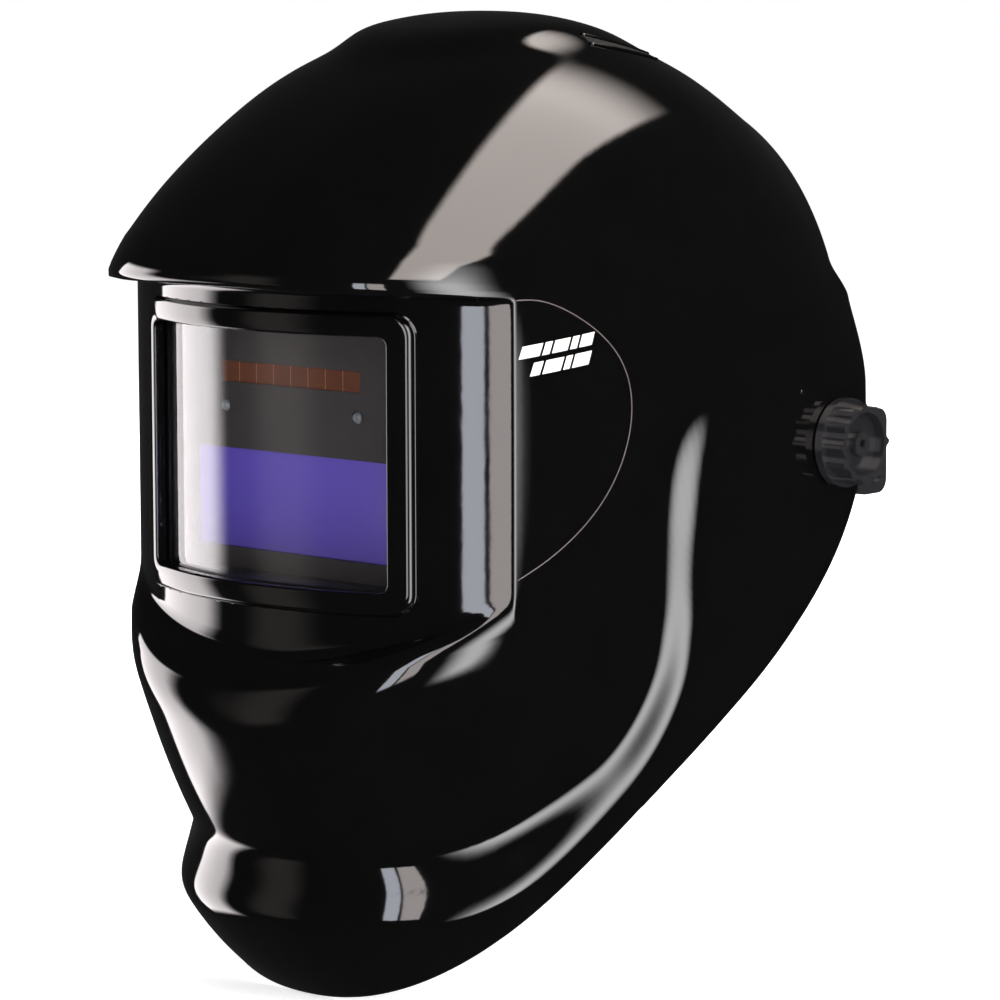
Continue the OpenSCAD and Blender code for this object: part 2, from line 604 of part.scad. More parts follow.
module headband() color("#232325")
    ribbon([for (t = [-126 : 7 : 126]) band_point(t)], [0, 0, 1], band_h, band_t);
sweat_t = 6;
module sweatband() color("#3c3c40")
    ribbon([for (t = [-63 : 7 : 63]) band_point(t, -(band_t + sweat_t) / 2 - gap)], [0, 0, 1],
        band_h + 4, sweat_t);
// Arm: a plate beside the headband, a bridge outwards, and the slotted plate at the pivot
module side_arm_left() color("#232325") difference() {
    union() {
        y_prism(-arm_w / 2, arm_w / 2) polygon([
            [arm_in_x, band_z + band_h / 2 - 2], [arm_in_x + arm_t, band_z + band_h / 2 - 2],
            [arm_in_x + arm_t, arm_top], [arm_x + arm_t, 19], [arm_x + arm_t, -12],
            [arm_x, -12], [arm_x, 16], [arm_in_x, arm_top - 4]]);
    }
    x_prism(arm_x - 1, arm_x + arm_t + 1) square([slot_l, slot_h], center = true);
    for (y = [-1, 1]) translate([0, y * (arm_w / 2 - 6), band_z])
        x_cyl(rivet_r + seat, arm_in_x - 1, arm_in_x + arm_t + 1);
}
module side_arm_right() right_side() side_arm_left();
module arm_rivets() color("silver") for (s = [0, 1]) mirror([s, 0, 0])
    for (y = [-1, 1]) translate([0, y * (arm_w / 2 - 6), band_z]) {
        x_cyl(rivet_r, arm_in_x - band_t - 0.6, arm_in_x + arm_t + tiny);
        x_cyl(rivet_r * 1.9, arm_in_x + arm_t, arm_in_x + arm_t + 1.2);
    }
// Crown strap in two halves that overlap on top and are pegged through a row of holes
strap_w = 18;
crown_rise = 62;
strap_y = 27;
function crown_point(a, off) = [(head_w / 2 - seat - band_t / 2 - 0.4 + off) * cos(a), strap_y,
    band_z + 2 + (crown_rise + off) * sin(a)];
module crown_strap_left() color("#232325") difference() {
    ribbon([for (a = [-8 : 7 : 104]) crown_point(a, 0)], [0, 1, 0], strap_w, band_t);
    crown_holes();
}
module crown_strap_right() color("#232325") right_side() difference() {
    ribbon([for (a = [-8 : 7 : 104]) crown_point(a, a < 60 ? 0 : min(1, (a - 60) / 12)
        * (band_t + gap))], [0, 1, 0], strap_w, band_t);
    crown_holes();
}
hole_pitch = 10;
module crown_holes() for (i = [0, 1])
    translate([i * hole_pitch, strap_y, band_z + crown_rise - 8]) cylinder(r = 2.4, h = 20);
module crown_peg() color("#1a1a1c") translate([0, strap_y, band_z + 2 + crown_rise]) {
    translate([0, 0, -band_t / 2 - 1.5]) cylinder(r = 2.3, h = 2 * band_t + 2.8);
    translate([0, 0, -band_t / 2 - 2.2]) cylinder(r = 4, h = 2);
    translate([0, 0, 1.5 * band_t + gap + 0.1]) cylinder(r = 5, h = 1.4);
}
module strap_rivets() color("silver") for (s = [0, 1]) mirror([s, 0, 0])
    translate([0, strap_y, band_z + 6]) {
        x_cyl(rivet_r, head_w / 2 - 5, head_w / 2 + 0.6);
        x_cyl(rivet_r * 1.8, head_w / 2 - 5.6, head_w / 2 - 4.4);
    }
// Rear straps: from the ends of the headband down to the ratchet at the nape
nape_z = -45;
nape_y = head_l / 2 + 6;
housing_w = 58;
housing_h = 34;
housing_t = 9;
rear_strap_w = 17;
// starts on the headband's outer face, then drops to run level into the ratchet's housing
pinion_r = 7;
strap_in_y = nape_y + 2.8;
rear_path = spline([for (t = [115, 122]) band_point(t, band_t + seat), [
    head_w * 0.345, head_l * 0.41, band_z - 26], [head_w * 0.265, head_l * 0.505, nape_z + 14],
    [housing_w / 2 + 5, strap_in_y - 1.4, nape_z + 3], [housing_w / 2 - 1, strap_in_y, nape_z],
    [pinion_r + 2, strap_in_y, nape_z]], 4);
module rear_strap_left() color("#232325")
    ribbon(rear_path, [0, 0, 1], rear_strap_w, band_t);
module rear_strap_right() right_side() rear_strap_left();

cavity_y = nape_y + 1.6;
knob_shaft_r = 5;
screw_x = housing_w / 2 - 5;
module ratchet_housing() color("#1d1d1f") translate([0, 0, nape_z]) difference() {
    y_prism(nape_y, nape_y + housing_t) rounded(housing_w, housing_h, 8);
    y_prism(cavity_y, nape_y + housing_t + 1) square([housing_w + 2, rear_strap_w + 2],
        center = true);
    y_cyl(knob_shaft_r + fit, nape_y - 1, nape_y + housing_t);
    for (x = [-1, 1], z = [-1, 1]) translate([x * screw_x, 0, z * (housing_h / 2 - 4)])
        y_cyl(1.1, nape_y + 3, nape_y + housing_t + 1);
}
cover_t = 2;
cover_y = nape_y + housing_t + seat;
module ratchet_cover() color("#1d1d1f") translate([0, 0, nape_z]) difference() {
    y_prism(cover_y, cover_y + cover_t) rounded(housing_w, housing_h, 8);
    y_cyl(knob_shaft_r + fit, cover_y - 1, cover_y + cover_t + 1);
    for (x = [-1, 1], z = [-1, 1]) translate([x * screw_x, 0, z * (housing_h / 2 - 4)])
        y_cyl(1.3, cover_y - 1, cover_y + cover_t + 1);
}
module ratchet_screws() color("silver") translate([0, 0, nape_z])
    for (x = [-1, 1], z = [-1, 1]) translate([x * screw_x, 0, z * (housing_h / 2 - 4)]) {
        y_cyl(1, nape_y + 4, cover_y + cover_t + tiny);
        y_cyl(2.4, cover_y + cover_t + tiny, cover_y + cover_t + 1.2);
    }
module ratchet_pinion() color("#8a8d90") translate([0, 0, nape_z]) difference() {
    y_prism(cavity_y + gap, cover_y - gap) union() {
        circle(r = pinion_r - 1.4);
        for (a = [0 : 30 : 330]) rotate(a) translate([pinion_r - 1.7, 0]) circle(r = 1.2);
    }
    y_cyl(3, cavity_y, cover_y + 1);
}
module pawl_spring() color("#c8cacc") translate([0, 0, nape_z]) for (s = [0, 1])
    mirror([s, 0, 0]) y_prism(cavity_y + 0.8, cavity_y + 1.6)
        translate([-6, pinion_r + 0.6]) square([10, 0.7]);
knob_gap = 0.6;
ratchet_y = cover_y + cover_t + 1.2 + knob_gap;
ratchet_h = 14;
module ratchet_knob() color("#141415") translate([0, 0, nape_z]) difference() {
    union() {
        y_cyl(3 - fit, cavity_y + 1, ratchet_y);
        y_cyl(knob_shaft_r, cover_y - gap / 2, ratchet_y + 1);
        y_prism(ratchet_y, ratchet_y + ratchet_h) difference() {
            circle(r = ratchet_d / 2);
            for (a = [0 : 20 : 340]) rotate(a) translate([ratchet_d / 2 + 1.4, 0]) circle(r = 2.6);
        }
    }
    y_cyl(ratchet_d / 2 - 6, ratchet_y + ratchet_h - 3, ratchet_y + ratchet_h + 1);
}
pad_t = 7;
module nape_pad() color("#3c3c40") translate([0, 0, nape_z])
    y_prism(nape_y - pad_t - seat, nape_y - seat) rounded(housing_w + 8, housing_h + 4, 9);

shell();
cover_lens();
lens_gasket();
filter_holder();
holder_screws();
filter_retainer();
retainer_pins();
cartridge_front();
cartridge_back();
interference_filter();
liquid_crystal_cell();
rear_polariser();
solar_panel();
arc_sensors();
circuit_board();
coin_cells();
potentiometers();
shade_dial();
sensitivity_dial();
delay_slider();
inner_cover_lens();
pivot_bush_left();
pivot_bush_right();
outer_washer_left();
outer_washer_right();
knob_left();
knob_right();
knob_insert_left();
knob_insert_right();
tilt_lever_left();
tilt_lever_right();
friction_washer_left();
friction_washer_right();
pivot_bolt_left();
pivot_bolt_right();
side_arm_left();
side_arm_right();
arm_rivets();
headband();
sweatband();
crown_strap_left();
crown_strap_right();
crown_peg();
strap_rivets();
rear_strap_left();
rear_strap_right();
ratchet_housing();
ratchet_cover();
ratchet_screws();
pawl_spring();
ratchet_pinion();
ratchet_knob();
nape_pad();
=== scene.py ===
# %% [markdown]
# # An auto-darkening welding helmet
# The helmet is one gloss moulding with a curved window band let into its front. Behind the window
# sits a flat cartridge that darkens by itself, and inside hangs a plastic headgear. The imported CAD
# model gives every place and size, so each piece made here is built where the CAD has it.
# Lengths are worked out in millimetres, as on a drawing, and turned to metres in the last step.

import json
import math

import bpy
import numpy as np
from mathutils import Matrix, Vector
from mathutils.bvhtree import BVHTree

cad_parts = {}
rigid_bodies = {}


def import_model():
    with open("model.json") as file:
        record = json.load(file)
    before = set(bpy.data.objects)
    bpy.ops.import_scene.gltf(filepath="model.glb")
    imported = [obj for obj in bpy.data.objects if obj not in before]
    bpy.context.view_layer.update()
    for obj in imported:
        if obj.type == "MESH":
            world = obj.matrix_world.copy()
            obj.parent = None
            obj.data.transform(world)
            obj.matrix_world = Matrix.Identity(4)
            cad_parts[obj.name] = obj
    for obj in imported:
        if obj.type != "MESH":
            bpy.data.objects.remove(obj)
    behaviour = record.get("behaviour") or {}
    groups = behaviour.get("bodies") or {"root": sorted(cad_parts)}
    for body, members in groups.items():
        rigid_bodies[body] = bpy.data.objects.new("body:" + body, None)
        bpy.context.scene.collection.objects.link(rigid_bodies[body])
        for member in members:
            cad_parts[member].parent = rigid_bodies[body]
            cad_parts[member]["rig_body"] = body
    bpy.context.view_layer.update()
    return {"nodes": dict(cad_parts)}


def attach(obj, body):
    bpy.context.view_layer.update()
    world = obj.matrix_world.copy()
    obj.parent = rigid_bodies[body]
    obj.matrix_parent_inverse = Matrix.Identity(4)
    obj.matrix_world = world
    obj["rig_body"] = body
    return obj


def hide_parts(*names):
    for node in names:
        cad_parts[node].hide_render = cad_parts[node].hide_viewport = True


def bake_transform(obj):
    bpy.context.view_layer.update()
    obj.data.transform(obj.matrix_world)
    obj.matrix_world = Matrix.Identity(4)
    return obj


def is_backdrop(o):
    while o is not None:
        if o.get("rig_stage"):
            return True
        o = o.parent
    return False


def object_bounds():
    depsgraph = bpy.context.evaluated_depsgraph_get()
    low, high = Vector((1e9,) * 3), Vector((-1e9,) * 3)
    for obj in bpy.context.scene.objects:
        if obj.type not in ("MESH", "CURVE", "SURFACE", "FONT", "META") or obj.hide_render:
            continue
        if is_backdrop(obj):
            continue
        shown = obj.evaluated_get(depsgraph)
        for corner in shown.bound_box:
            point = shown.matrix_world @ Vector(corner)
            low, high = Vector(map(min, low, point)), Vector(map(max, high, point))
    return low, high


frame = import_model()
MM = 0.001

# %% [markdown]
# ## Small helpers
# Every finish starts from a colour picked as sRGB hex, because that is what a colour chart gives.
# Blender mixes light in linear values, so one function turns one into the other.

# %% Colours and nodes
def colour(text, alpha=1.0):
    parts = [int(text[i:i + 2], 16) / 255 for i in (1, 3, 5)]
    line = [p / 12.92 if p <= 0.04045 else ((p + 0.055) / 1.055) ** 2.4 for p in parts]
    return (*line, alpha)


def add(mat, kind, settings=None, **links):
    """Adds a node, sets its values by name, and links sockets given as name=(node, output)."""
    node = mat.node_tree.nodes.new(kind)
    for key, value in (settings or {}).items():
        if isinstance(key, int) or key in node.inputs:
            node.inputs[key].default_value = value
        else:
            setattr(node, key, value)
    for key, (source, output) in links.items():
        socket = int(key[2:]) if key.startswith("in") else key.replace("_", " ")
        mat.node_tree.links.new(source.outputs[output], node.inputs[socket])
    return node


def finish(name, base, **settings):
    """A material with one Principled shader, and that shader."""
    mat = bpy.data.materials.new(name)
    mat.use_nodes = True
    shader = mat.node_tree.nodes["Principled BSDF"]
    shader.inputs["Base Color"].default_value = colour(base)
    for key, value in settings.items():
        shader.inputs[key.replace("_", " ")].default_value = value
    return mat, shader


def link(mat, node, output, shader, socket):
    mat.node_tree.links.new(node.outputs[output], shader.inputs[socket])


def noise_bump(mat, shader, scale, strength, distance, detail=2.0):
    """A fine relief from noise in the object's own coordinates, scale in features per metre."""
    place = add(mat, "ShaderNodeTexCoord")
    grain = add(mat, "ShaderNodeTexNoise", {"Scale": scale, "Detail": detail},
                Vector=(place, "Object"))
    bump = add(mat, "ShaderNodeBump", {"Strength": strength, "Distance": distance},
               Height=(grain, "Fac"))
    link(mat, bump, "Normal", shader, "Normal")
    return grain


def varied(mat, shader, socket, low, high, scale):
    """A value or colour that wanders between two ends, as handling and moulding leave it; on the
    sensor lens the paler end is a painted highlight.
    """
    place = add(mat, "ShaderNodeTexCoord")
    cloud = add(mat, "ShaderNodeTexNoise", {"Scale": scale, "Detail": 4.0},
                Vector=(place, "Object"))
    if isinstance(low, str):
        mix = add(mat, "ShaderNodeMix", {"data_type": "RGBA"})
        mix.inputs[6].default_value, mix.inputs[7].default_value = colour(low), colour(high)
        mat.node_tree.links.new(cloud.outputs["Fac"], mix.inputs[0])
        mat.node_tree.links.new(mix.outputs[2], shader.inputs[socket])
    else:
        span = add(mat, "ShaderNodeMapRange", {"From Min": 0.3, "From Max": 0.7,
                                               "To Min": low, "To Max": high},
                   Value=(cloud, "Fac"))
        link(mat, span, "Result", shader, socket)


# %% Meshes
def deselect():
    for item in bpy.context.selected_objects:
        item.select_set(False)


def choose(item):
    deselect()
    item.select_set(True)
    bpy.context.view_layer.objects.active = item


def mesh_piece(name, points, faces, mat, body):
    """A piece from points in millimetres, with outward normals, that moves with a body."""
    mesh = bpy.data.meshes.new(name)
    mesh.from_pydata([tuple(p) for p in np.asarray(points) * MM], [], faces)
    mesh.validate()
    item = bpy.data.objects.new(name, mesh)
    bpy.context.scene.collection.objects.link(item)
    mesh.materials.append(mat)
    choose(item)
    bpy.ops.object.mode_set(mode="EDIT")
    bpy.ops.mesh.select_all(action="SELECT")
    bpy.ops.mesh.normals_make_consistent(inside=False)
    bpy.ops.object.mode_set(mode="OBJECT")
    bpy.ops.object.shade_smooth()
    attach(item, body)
    return item


# %% [markdown]
# ## Light, floor and camera
# Gloss black shows nothing but its surroundings, so the lamps are large and each one has a place:
# a long strip overhead, a tall box at either side, a faint haze beside the left one, and two narrow
# strips near the camera, one cool and one warm. They are seen in the plastic as the pale bands that
# describe its shape. A fill behind lights the headgear and is kept out of the reflections.

# %% Studio
def softbox(name, place, facing, upright, size, strength, tint, ramps=(0, 0, 0, 0)):
    """A rectangular lamp. Ramps are the shares of its left, right, low and high side that fade."""
    lamp = bpy.data.lights.new(name, "AREA")
    lamp.shape = "RECTANGLE"
    lamp.size, lamp.size_y = size
    lamp.energy = strength * size[0] * size[1]
    lamp.color = colour(tint)[:3]
    lamp.use_nodes = True
    glow = lamp.node_tree.nodes["Emission"]
    where = add(lamp, "ShaderNodeNewGeometry")
    split = add(lamp, "ShaderNodeSeparateXYZ", Vector=(where, "Parametric"))
    level = None
    for axis, (low, high) in zip("XY", (ramps[:2], ramps[2:])):
        for start, end in ((0.0, low), (1.0, 1.0 - high)):
            if abs(start - end) < 1e-6:
                continue
            ramp = add(lamp, "ShaderNodeMapRange", {"interpolation_type": "SMOOTHSTEP",
                                                    "From Min": start, "From Max": end},
                       Value=(split, axis))
            level = ramp if level is None else add(
                lamp, "ShaderNodeMath", {"operation": "MULTIPLY"}, in0=(level, 0), in1=(ramp, 0))
    if level is not None:
        lamp.node_tree.links.new(level.outputs[0], glow.inputs["Strength"])
    item = bpy.data.objects.new(name, lamp)
    bpy.context.scene.collection.objects.link(item)
    away = -Vector(facing).normalized()
    side = Vector(upright).cross(away).normalized()
    up = away.cross(side)
    item.rotation_euler = Matrix((side, up, away)).transposed().to_euler()
    item.location = place
    item.visible_camera = False
    return item


def around(azimuth, elevation, distance):
    """A place seen from the helmet at an azimuth from the front towards +X, and an elevation."""
    a, e = math.radians(azimuth), math.radians(elevation)
    return Vector((distance * math.cos(e) * math.sin(a), -distance * math.cos(e) * math.cos(a),
                   distance * math.sin(e)))


def upright_box(name, azimuth, elevation, distance, *rest):
    place = around(azimuth, elevation, distance)
    return softbox(name, place, -place, (0, 0, 1), *rest)


softbox("overhead_strip", (0.73, 0.17, 1.3), (0, 0, -1), (-0.6, 0.8, 0), (0.84, 2.7), 32,
        "#e9dfd9", (0.1, 0.1, 0.05, 0.3))
upright_box("left_box", -69, -9, 1.6, (1.0, 1.8), 23, "#f6eff0", (0.04, 0.3, 0.12, 0.1))
upright_box("left_haze", -28, 0, 1.6, (0.9, 1.8), 1.1, "#fff4ee", (0.4, 0.45, 0.2, 0.2))
upright_box("near_strip_cool", 32, 5, 2.2, (0.28, 1.7), 33, "#dfe3ee", (0.1, 0.1, 0.1, 0.1))
upright_box("near_strip_warm", 40.5, 5, 2.2, (0.33, 1.7), 25, "#efe5e4", (0.1, 0.05, 0.1, 0.1))
upright_box("right_box", 72, 6, 1.9, (1.2, 3.3), 36, "#efeef0", (0.5, 0.45, 0.1, 0.3))
fill = upright_box("rear_fill", -152, 22, 1.8, (1.2, 1.2), 30, "#ffffff", (0.2, 0.2, 0.2, 0.2))
fill.visible_glossy = False

# The room is white to the eye of the camera and nearly dark to the plastic that mirrors it
mirrored_room, seen_room = 0.03, 1.0
world = bpy.data.worlds.new("white_room")
bpy.context.scene.world = world
world.use_nodes = True
tree = world.node_tree
sky = tree.nodes["Background"]
sky.inputs["Color"].default_value = colour("#ffffff")
ray = tree.nodes.new("ShaderNodeLightPath")
level = tree.nodes.new("ShaderNodeMapRange")
level.inputs["To Min"].default_value = mirrored_room
level.inputs["To Max"].default_value = seen_room
tree.links.new(ray.outputs["Is Camera Ray"], level.inputs["Value"])
tree.links.new(level.outputs["Result"], sky.inputs["Strength"])

floor_z, floor_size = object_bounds()[0][2], 30
bpy.ops.mesh.primitive_plane_add(size=floor_size, location=(0, 0, floor_z))
floor = bpy.context.object
floor.name = "floor"
# White studio paper: matt, and glowing a little so that it meets the white room without an edge
pale, pale_shader = finish("pale_studio_paper", "#f4f4f4", Roughness=0.9,
                           Emission_Color=colour("#ffffff"))
varied(pale, pale_shader, "Base Color", "#f2f2f2", "#f7f7f7", 2)
spot = add(pale, "ShaderNodeTexCoord")
reach = add(pale, "ShaderNodeVectorMath", {"operation": "LENGTH"}, in0=(spot, "Object"))
lit = add(pale, "ShaderNodeMapRange", {"From Min": 0.2, "From Max": 1.0, "To Min": 0.6,
                                       "To Max": 1.0}, Value=(reach, "Value"))
link(pale, lit, "Result", pale_shader, "Emission Strength")
floor.data.materials.append(pale)
floor.visible_glossy = False
floor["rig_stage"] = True

# A long lens from the front left, a little above the window; the shift places the helmet
camera_data = bpy.data.cameras.new("camera")
camera_data.lens = 143.9
camera_data.sensor_width = 36
camera_data.shift_x = -0.0848
camera_data.shift_y = -0.082
camera = bpy.data.objects.new("camera", camera_data)
bpy.context.scene.collection.objects.link(camera)
camera_azimuth, camera_elevation, camera_distance = 40, 6.4, 1.5
camera.location = around(camera_azimuth, camera_elevation, camera_distance)
camera.rotation_euler = Vector(camera.location).to_track_quat("Z", "Y").to_euler()
bpy.context.scene.camera = camera
bpy.context.scene.view_settings.view_transform = "Standard"

# %% [markdown]
# ## The moulded shell
# The real shell is injection moulded in gloss black nylon, about 2.4 mm thick. Its gloss shows
# every wave, so it is not pushed into shape by hand: it is a formula. Planes fan out round an axis
# just behind the pivots. In each plane the section is a squared ellipse, and its radius follows the
# side view's outline. Tables of the outline are blurred a little before use, because a kink too
# small to see in the shape would still break a reflection.

# %% Outline and section of the shell
fan_y = 15.0
half_w = 112.0
wall = 2.4
outline = np.array([(-126, -190), (-146, -176), (-163, -156), (-180, -124), (-192, -82),
                    (-199, -45), (-197, 0), (-196, 35), (-193, 62), (-175, 92), (-143, 120),
                    (-100, 141), (-50, 149), (-10, 142), (15, 132), (35, 122)], float)
section = np.array([(-60, 2.2), (-45, 2.25), (-30, 2.4), (-15, 2.7), (0, 2.8), (20, 2.8),
                    (50, 2.65), (75, 2.35), (90, 2.15), (100, 2.1)])
lower_rim = np.array([(0, -48.4), (20, -48.4), (40, -48.8), (60, -52.5), (75, -61.5), (90, -79)])
rear_rim = np.array([(0, 97), (30, 96), (60, 93), (90, 90)])
step_line = np.array([(45, 60), (3, 54), (-39, 41), (-65, 19), (-76, 0), (-79, -30), (-77, -57),
                      (-79, -80), (-90, -103), (-110, -122), (-134, -139), (-160, -143),
                      (-215, -143)], float)


def smooth(low, high, x):
    """0 below low, 1 above high, and a soft S between them; low may be the larger one."""
    t = np.clip((x - low) / (high - low), 0, 1)
    return t * t * (3 - 2 * t)


def spline(points, steps):
    """A Catmull-Rom curve through the points."""
    p = np.vstack([2 * points[0] - points[1], points, 2 * points[-1] - points[-2]])
    t = np.linspace(0, 1, steps, endpoint=False)[:, None]
    parts = [0.5 * (2 * b + (c - a) * t + (2 * a - 5 * b + 4 * c - d) * t ** 2
                    + (3 * b - a - 3 * c + d) * t ** 3)
             for a, b, c, d in zip(p, p[1:], p[2:], p[3:])]
    return np.vstack(parts + [points[-1:]])


def blurred(keys, values, width):
    """The table as a function, blurred over a width of its key."""
    grid = np.arange(min(keys), max(keys) + 0.01, 0.25)
    reach = int(width * 12)
    kernel = np.exp(-0.5 * (np.arange(-reach, reach + 1) * 0.25 / width) ** 2)
    level = np.pad(np.interp(grid, keys, values), reach, mode="reflect", reflect_type="odd")
    level = np.convolve(level, kernel / kernel.sum(), mode="valid")
    return lambda x: np.interp(x, grid, level)


dense = spline(outline, 24)
fan_of = np.degrees(np.arctan2(dense[:, 1], fan_y - dense[:, 0]))
mid_radius = blurred(fan_of, np.hypot(dense[:, 1], fan_y - dense[:, 0]), 1.6)
power = blurred(section[:, 0], section[:, 1], 5)
low_angle = blurred(lower_rim[:, 0], lower_rim[:, 1], 5)
rear_angle = blurred(rear_rim[:, 0], rear_rim[:, 1], 6)


def radius_at(a, x):
    """Distance from the fan's axis to the hull, in the plane at angle a, at half width x."""
    n = power(a)
    return mid_radius(a) * (1 - (np.abs(x) / half_w) ** n) ** (1 / n)


def side_angle(a, x):
    """Angle round the section, from 0 at the middle to 90 at the side, of half width x."""
    return np.degrees(np.arcsin((x / half_w) ** (power(a) / 2)))


def hull_point(a, s):
    """Point of the hull at fan angle a and angle s round its section."""
    n = power(a)
    r = mid_radius(a) * np.cos(np.radians(s)) ** (2 / n)
    return np.stack([half_w * np.sin(np.radians(s)) ** (2 / n),
                     fan_y - r * np.cos(np.radians(a)), r * np.sin(np.radians(a))], -1)


def angle_at(z, x):
    """Fan angle at which the section passes height z at half width x."""
    a = np.zeros(np.broadcast(z, x).shape)
    for _ in range(16):
        r = radius_at(a, x)
        a = np.degrees(np.arctan2(z, np.sqrt(np.maximum(r * r - z * z, 1))))
    return a


# %% [markdown]
# ## Window band, brow and jaw
# The front is cut back by an upright cylinder: the window band. It ends in a crease at each side,
# under the brow lip above and above a folded ledge below. Rows of the mesh run along these
# features, so that each edge is one clean line of edges, and the rest is spaced evenly.

# %% Rows and columns of the shell
crease_x, crease_y = 90.0, -143.8
band_r = 132.0
band_cy = crease_y + math.sqrt(band_r ** 2 - crease_x ** 2)
window_z = 2.2
hole_x, hole_z = 59.0, 47.2
brow_out = 2.0


def dip(x):
    """1 at the middle of the window band, falling to 0 at the creases."""
    return 1 - (np.minimum(np.abs(x), crease_x) / crease_x) ** 2


def brow_z(x):
    """Height of the brow's edge."""
    return 59 + 3 * dip(x)


def ledge_z(x):
    """Height of the ledge under the window."""
    return -44 - 21 * dip(x)


def band_front(x, proud=0.0):
    """Y of the window band's cylinder, or of one a little proud of it."""
    return band_cy - np.sqrt((band_r + proud) ** 2 - x ** 2)


def shell_grid(hole_cols=26, side_cols=15, cheek_cols=70, jaw_rows=62, ledge_rows=9,
               under_rows=7, window_rows=36, over_rows=6, brow_rows=4, dome_rows=84):
    """Points of the face of the shell, row by row from the chin up, and where the hole lies."""
    xs = np.concatenate([np.linspace(0, hole_x, hole_cols + 1),
                         crease_x - (crease_x - hole_x)
                         * (1 - np.linspace(0, 1, side_cols + 1)[1:]) ** 1.6])
    k = len(xs)
    cheek = np.concatenate([np.zeros(k), np.linspace(0, 1, cheek_cols + 1)[1:] ** 1.3])
    cheek[-1] = 0.997
    x_ref = np.concatenate([xs, np.full(cheek_cols, crease_x)])
    brow_a, ledge_a = angle_at(brow_z(x_ref), x_ref), angle_at(ledge_z(x_ref), x_ref)
    first = side_angle(0.0, crease_x)
    start = np.where(cheek > 0, first + (90 - first) * cheek, side_angle(0.0, x_ref))
    low_a, rear_a = low_angle(start), rear_angle(start)
    fold = 6.0

    def crease_miss(a):
        """How far the crease lies behind the section of a plane, at the crease's half width."""
        return crease_y - fan_y + radius_at(a, crease_x) * math.cos(math.radians(a))

    top_miss, low_miss = crease_miss(brow_a[-1]), crease_miss(ledge_a[-1])

    def row(a):
        """One row of the face, its cheek pulled to the crease at the front."""
        c = side_angle(a, crease_x)
        s = np.where(cheek > 0, c + (90 - c) * cheek, side_angle(a, x_ref))
        p = hull_point(a, s)
        ac = a[k - 1]
        miss = crease_miss(ac)
        if ac > brow_a[-1]:
            miss = top_miss * (1 - smooth(0, 20, ac - brow_a[-1]))
        if ac < ledge_a[-1]:
            miss = low_miss * (1 - smooth(0, 22, ledge_a[-1] - ac))
        p[:, 1] += miss * (1 - cheek) ** 2
        return p

    def recess(p):
        """How far each point of the front goes back to lie on the window band."""
        return np.where(cheek > 0, 0, band_front(np.minimum(p[:, 0], crease_x)) - p[:, 1])

    rows = []
    for t in np.linspace(0, 1, jaw_rows + 1):
        rows.append(row(low_a * (1 - t) + (ledge_a - fold) * t))
    for t in np.linspace(0, 1, ledge_rows + 1)[1:]:
        p = row(ledge_a - fold * (1 - t))
        p[:, 1] += recess(p) * t * t
        rows.append(p)
    bottom, top = window_z - hole_z, window_z + hole_z
    levels = [ledge_z(x_ref) * (1 - t) + bottom * t for t in np.linspace(0, 1, under_rows + 1)[1:]]
    first_hole = len(rows) + len(levels) - 1
    levels += [np.full(len(x_ref), z) for z in np.linspace(bottom, top, window_rows + 1)[1:]]
    last_hole = len(rows) + len(levels) - 1
    levels += [top * (1 - t) + brow_z(x_ref) * t for t in np.linspace(0, 1, over_rows + 1)[1:-1]]
    spread = smooth(hole_x + 2, crease_x, x_ref)
    for i, z in enumerate(levels):
        even = ledge_z(x_ref) + (brow_z(x_ref) - ledge_z(x_ref)) * (i + 1) / (len(levels) + 1)
        p = row(angle_at(z * (1 - spread) + even * spread, x_ref))
        p[:, 1] += recess(p)
        rows.append(p)
    relief_from = first_hole - under_rows + 1
    out = lambda p: brow_out * (1 - smooth(45, crease_x, p[:, 0]))
    for t in np.linspace(0, 1, brow_rows + 1):
        p = row(brow_a - 0.6 * (1 - t))
        p[:, 1] += recess(p) * (1 - t) - out(p) * t
        rows.append(p)
    relief_to = len(rows)
    for t in np.linspace(0, 1, dome_rows + 1)[1:]:
        p = row(brow_a * (1 - t) + rear_a * t)
        lift = out(p) * (1 - np.clip((p[:, 2] - brow_z(p[:, 0])) / 45, 0, 1)) ** 2
        p[:, 1] -= lift
        p[:, 0] += lift * 0.5 * np.clip(p[:, 0] / 60, 0, 1)
        rows.append(p)
    half = np.array(rows)
    mirrored = half[:, :0:-1] * np.array([-1, 1, 1])
    full = np.concatenate([mirrored, half], axis=1)
    middle = half.shape[1] - 1
    on_band = np.zeros(full.shape[:2], bool)
    on_band[relief_from:relief_to, middle - k + 1:middle + k] = True
    return full, on_band, (first_hole, last_hole, middle - hole_cols, middle + hole_cols)


def grid_normals(p):
    n = np.cross(np.gradient(p, axis=1), np.gradient(p, axis=0))
    return n / np.maximum(np.linalg.norm(n, axis=-1, keepdims=True), 1e-9)


# %% [markdown]
# ## Raised parts of the moulding
# Behind and below the face the shell steps outwards in one S-shaped line, which stiffens it, and
# flares into a bib under the chin. On the crown an oval pad stands up. Both are heights added along
# the normals, each a smooth function of the distance from a curve.

# %% Step, bib and crown pad
def step_distance(points):
    """Signed distance in the side view from the step's line, positive behind and below it."""
    path = spline(step_line, 10)
    q = points[..., 1:3].reshape(-1, 2)
    best, side = np.full(len(q), 1e9), np.zeros(len(q))
    for a, b in zip(path, path[1:]):
        along = b - a
        t = np.clip(((q - a) @ along) / (along @ along), 0, 1)
        v = q - a - t[:, None] * along
        d = np.hypot(v[:, 0], v[:, 1])
        near = d < best
        best[near] = d[near]
        side[near] = np.sign(along[0] * v[:, 1] - along[1] * v[:, 0])[near]
    return (best * side).reshape(points.shape[:-1])


step_height, bib_extra, dome_less, step_reach = 7, 8.5, 3.5, 6.5
pad_half_x, pad_half_y, pad_y, pad_height = 47, 60, -52, 4.5


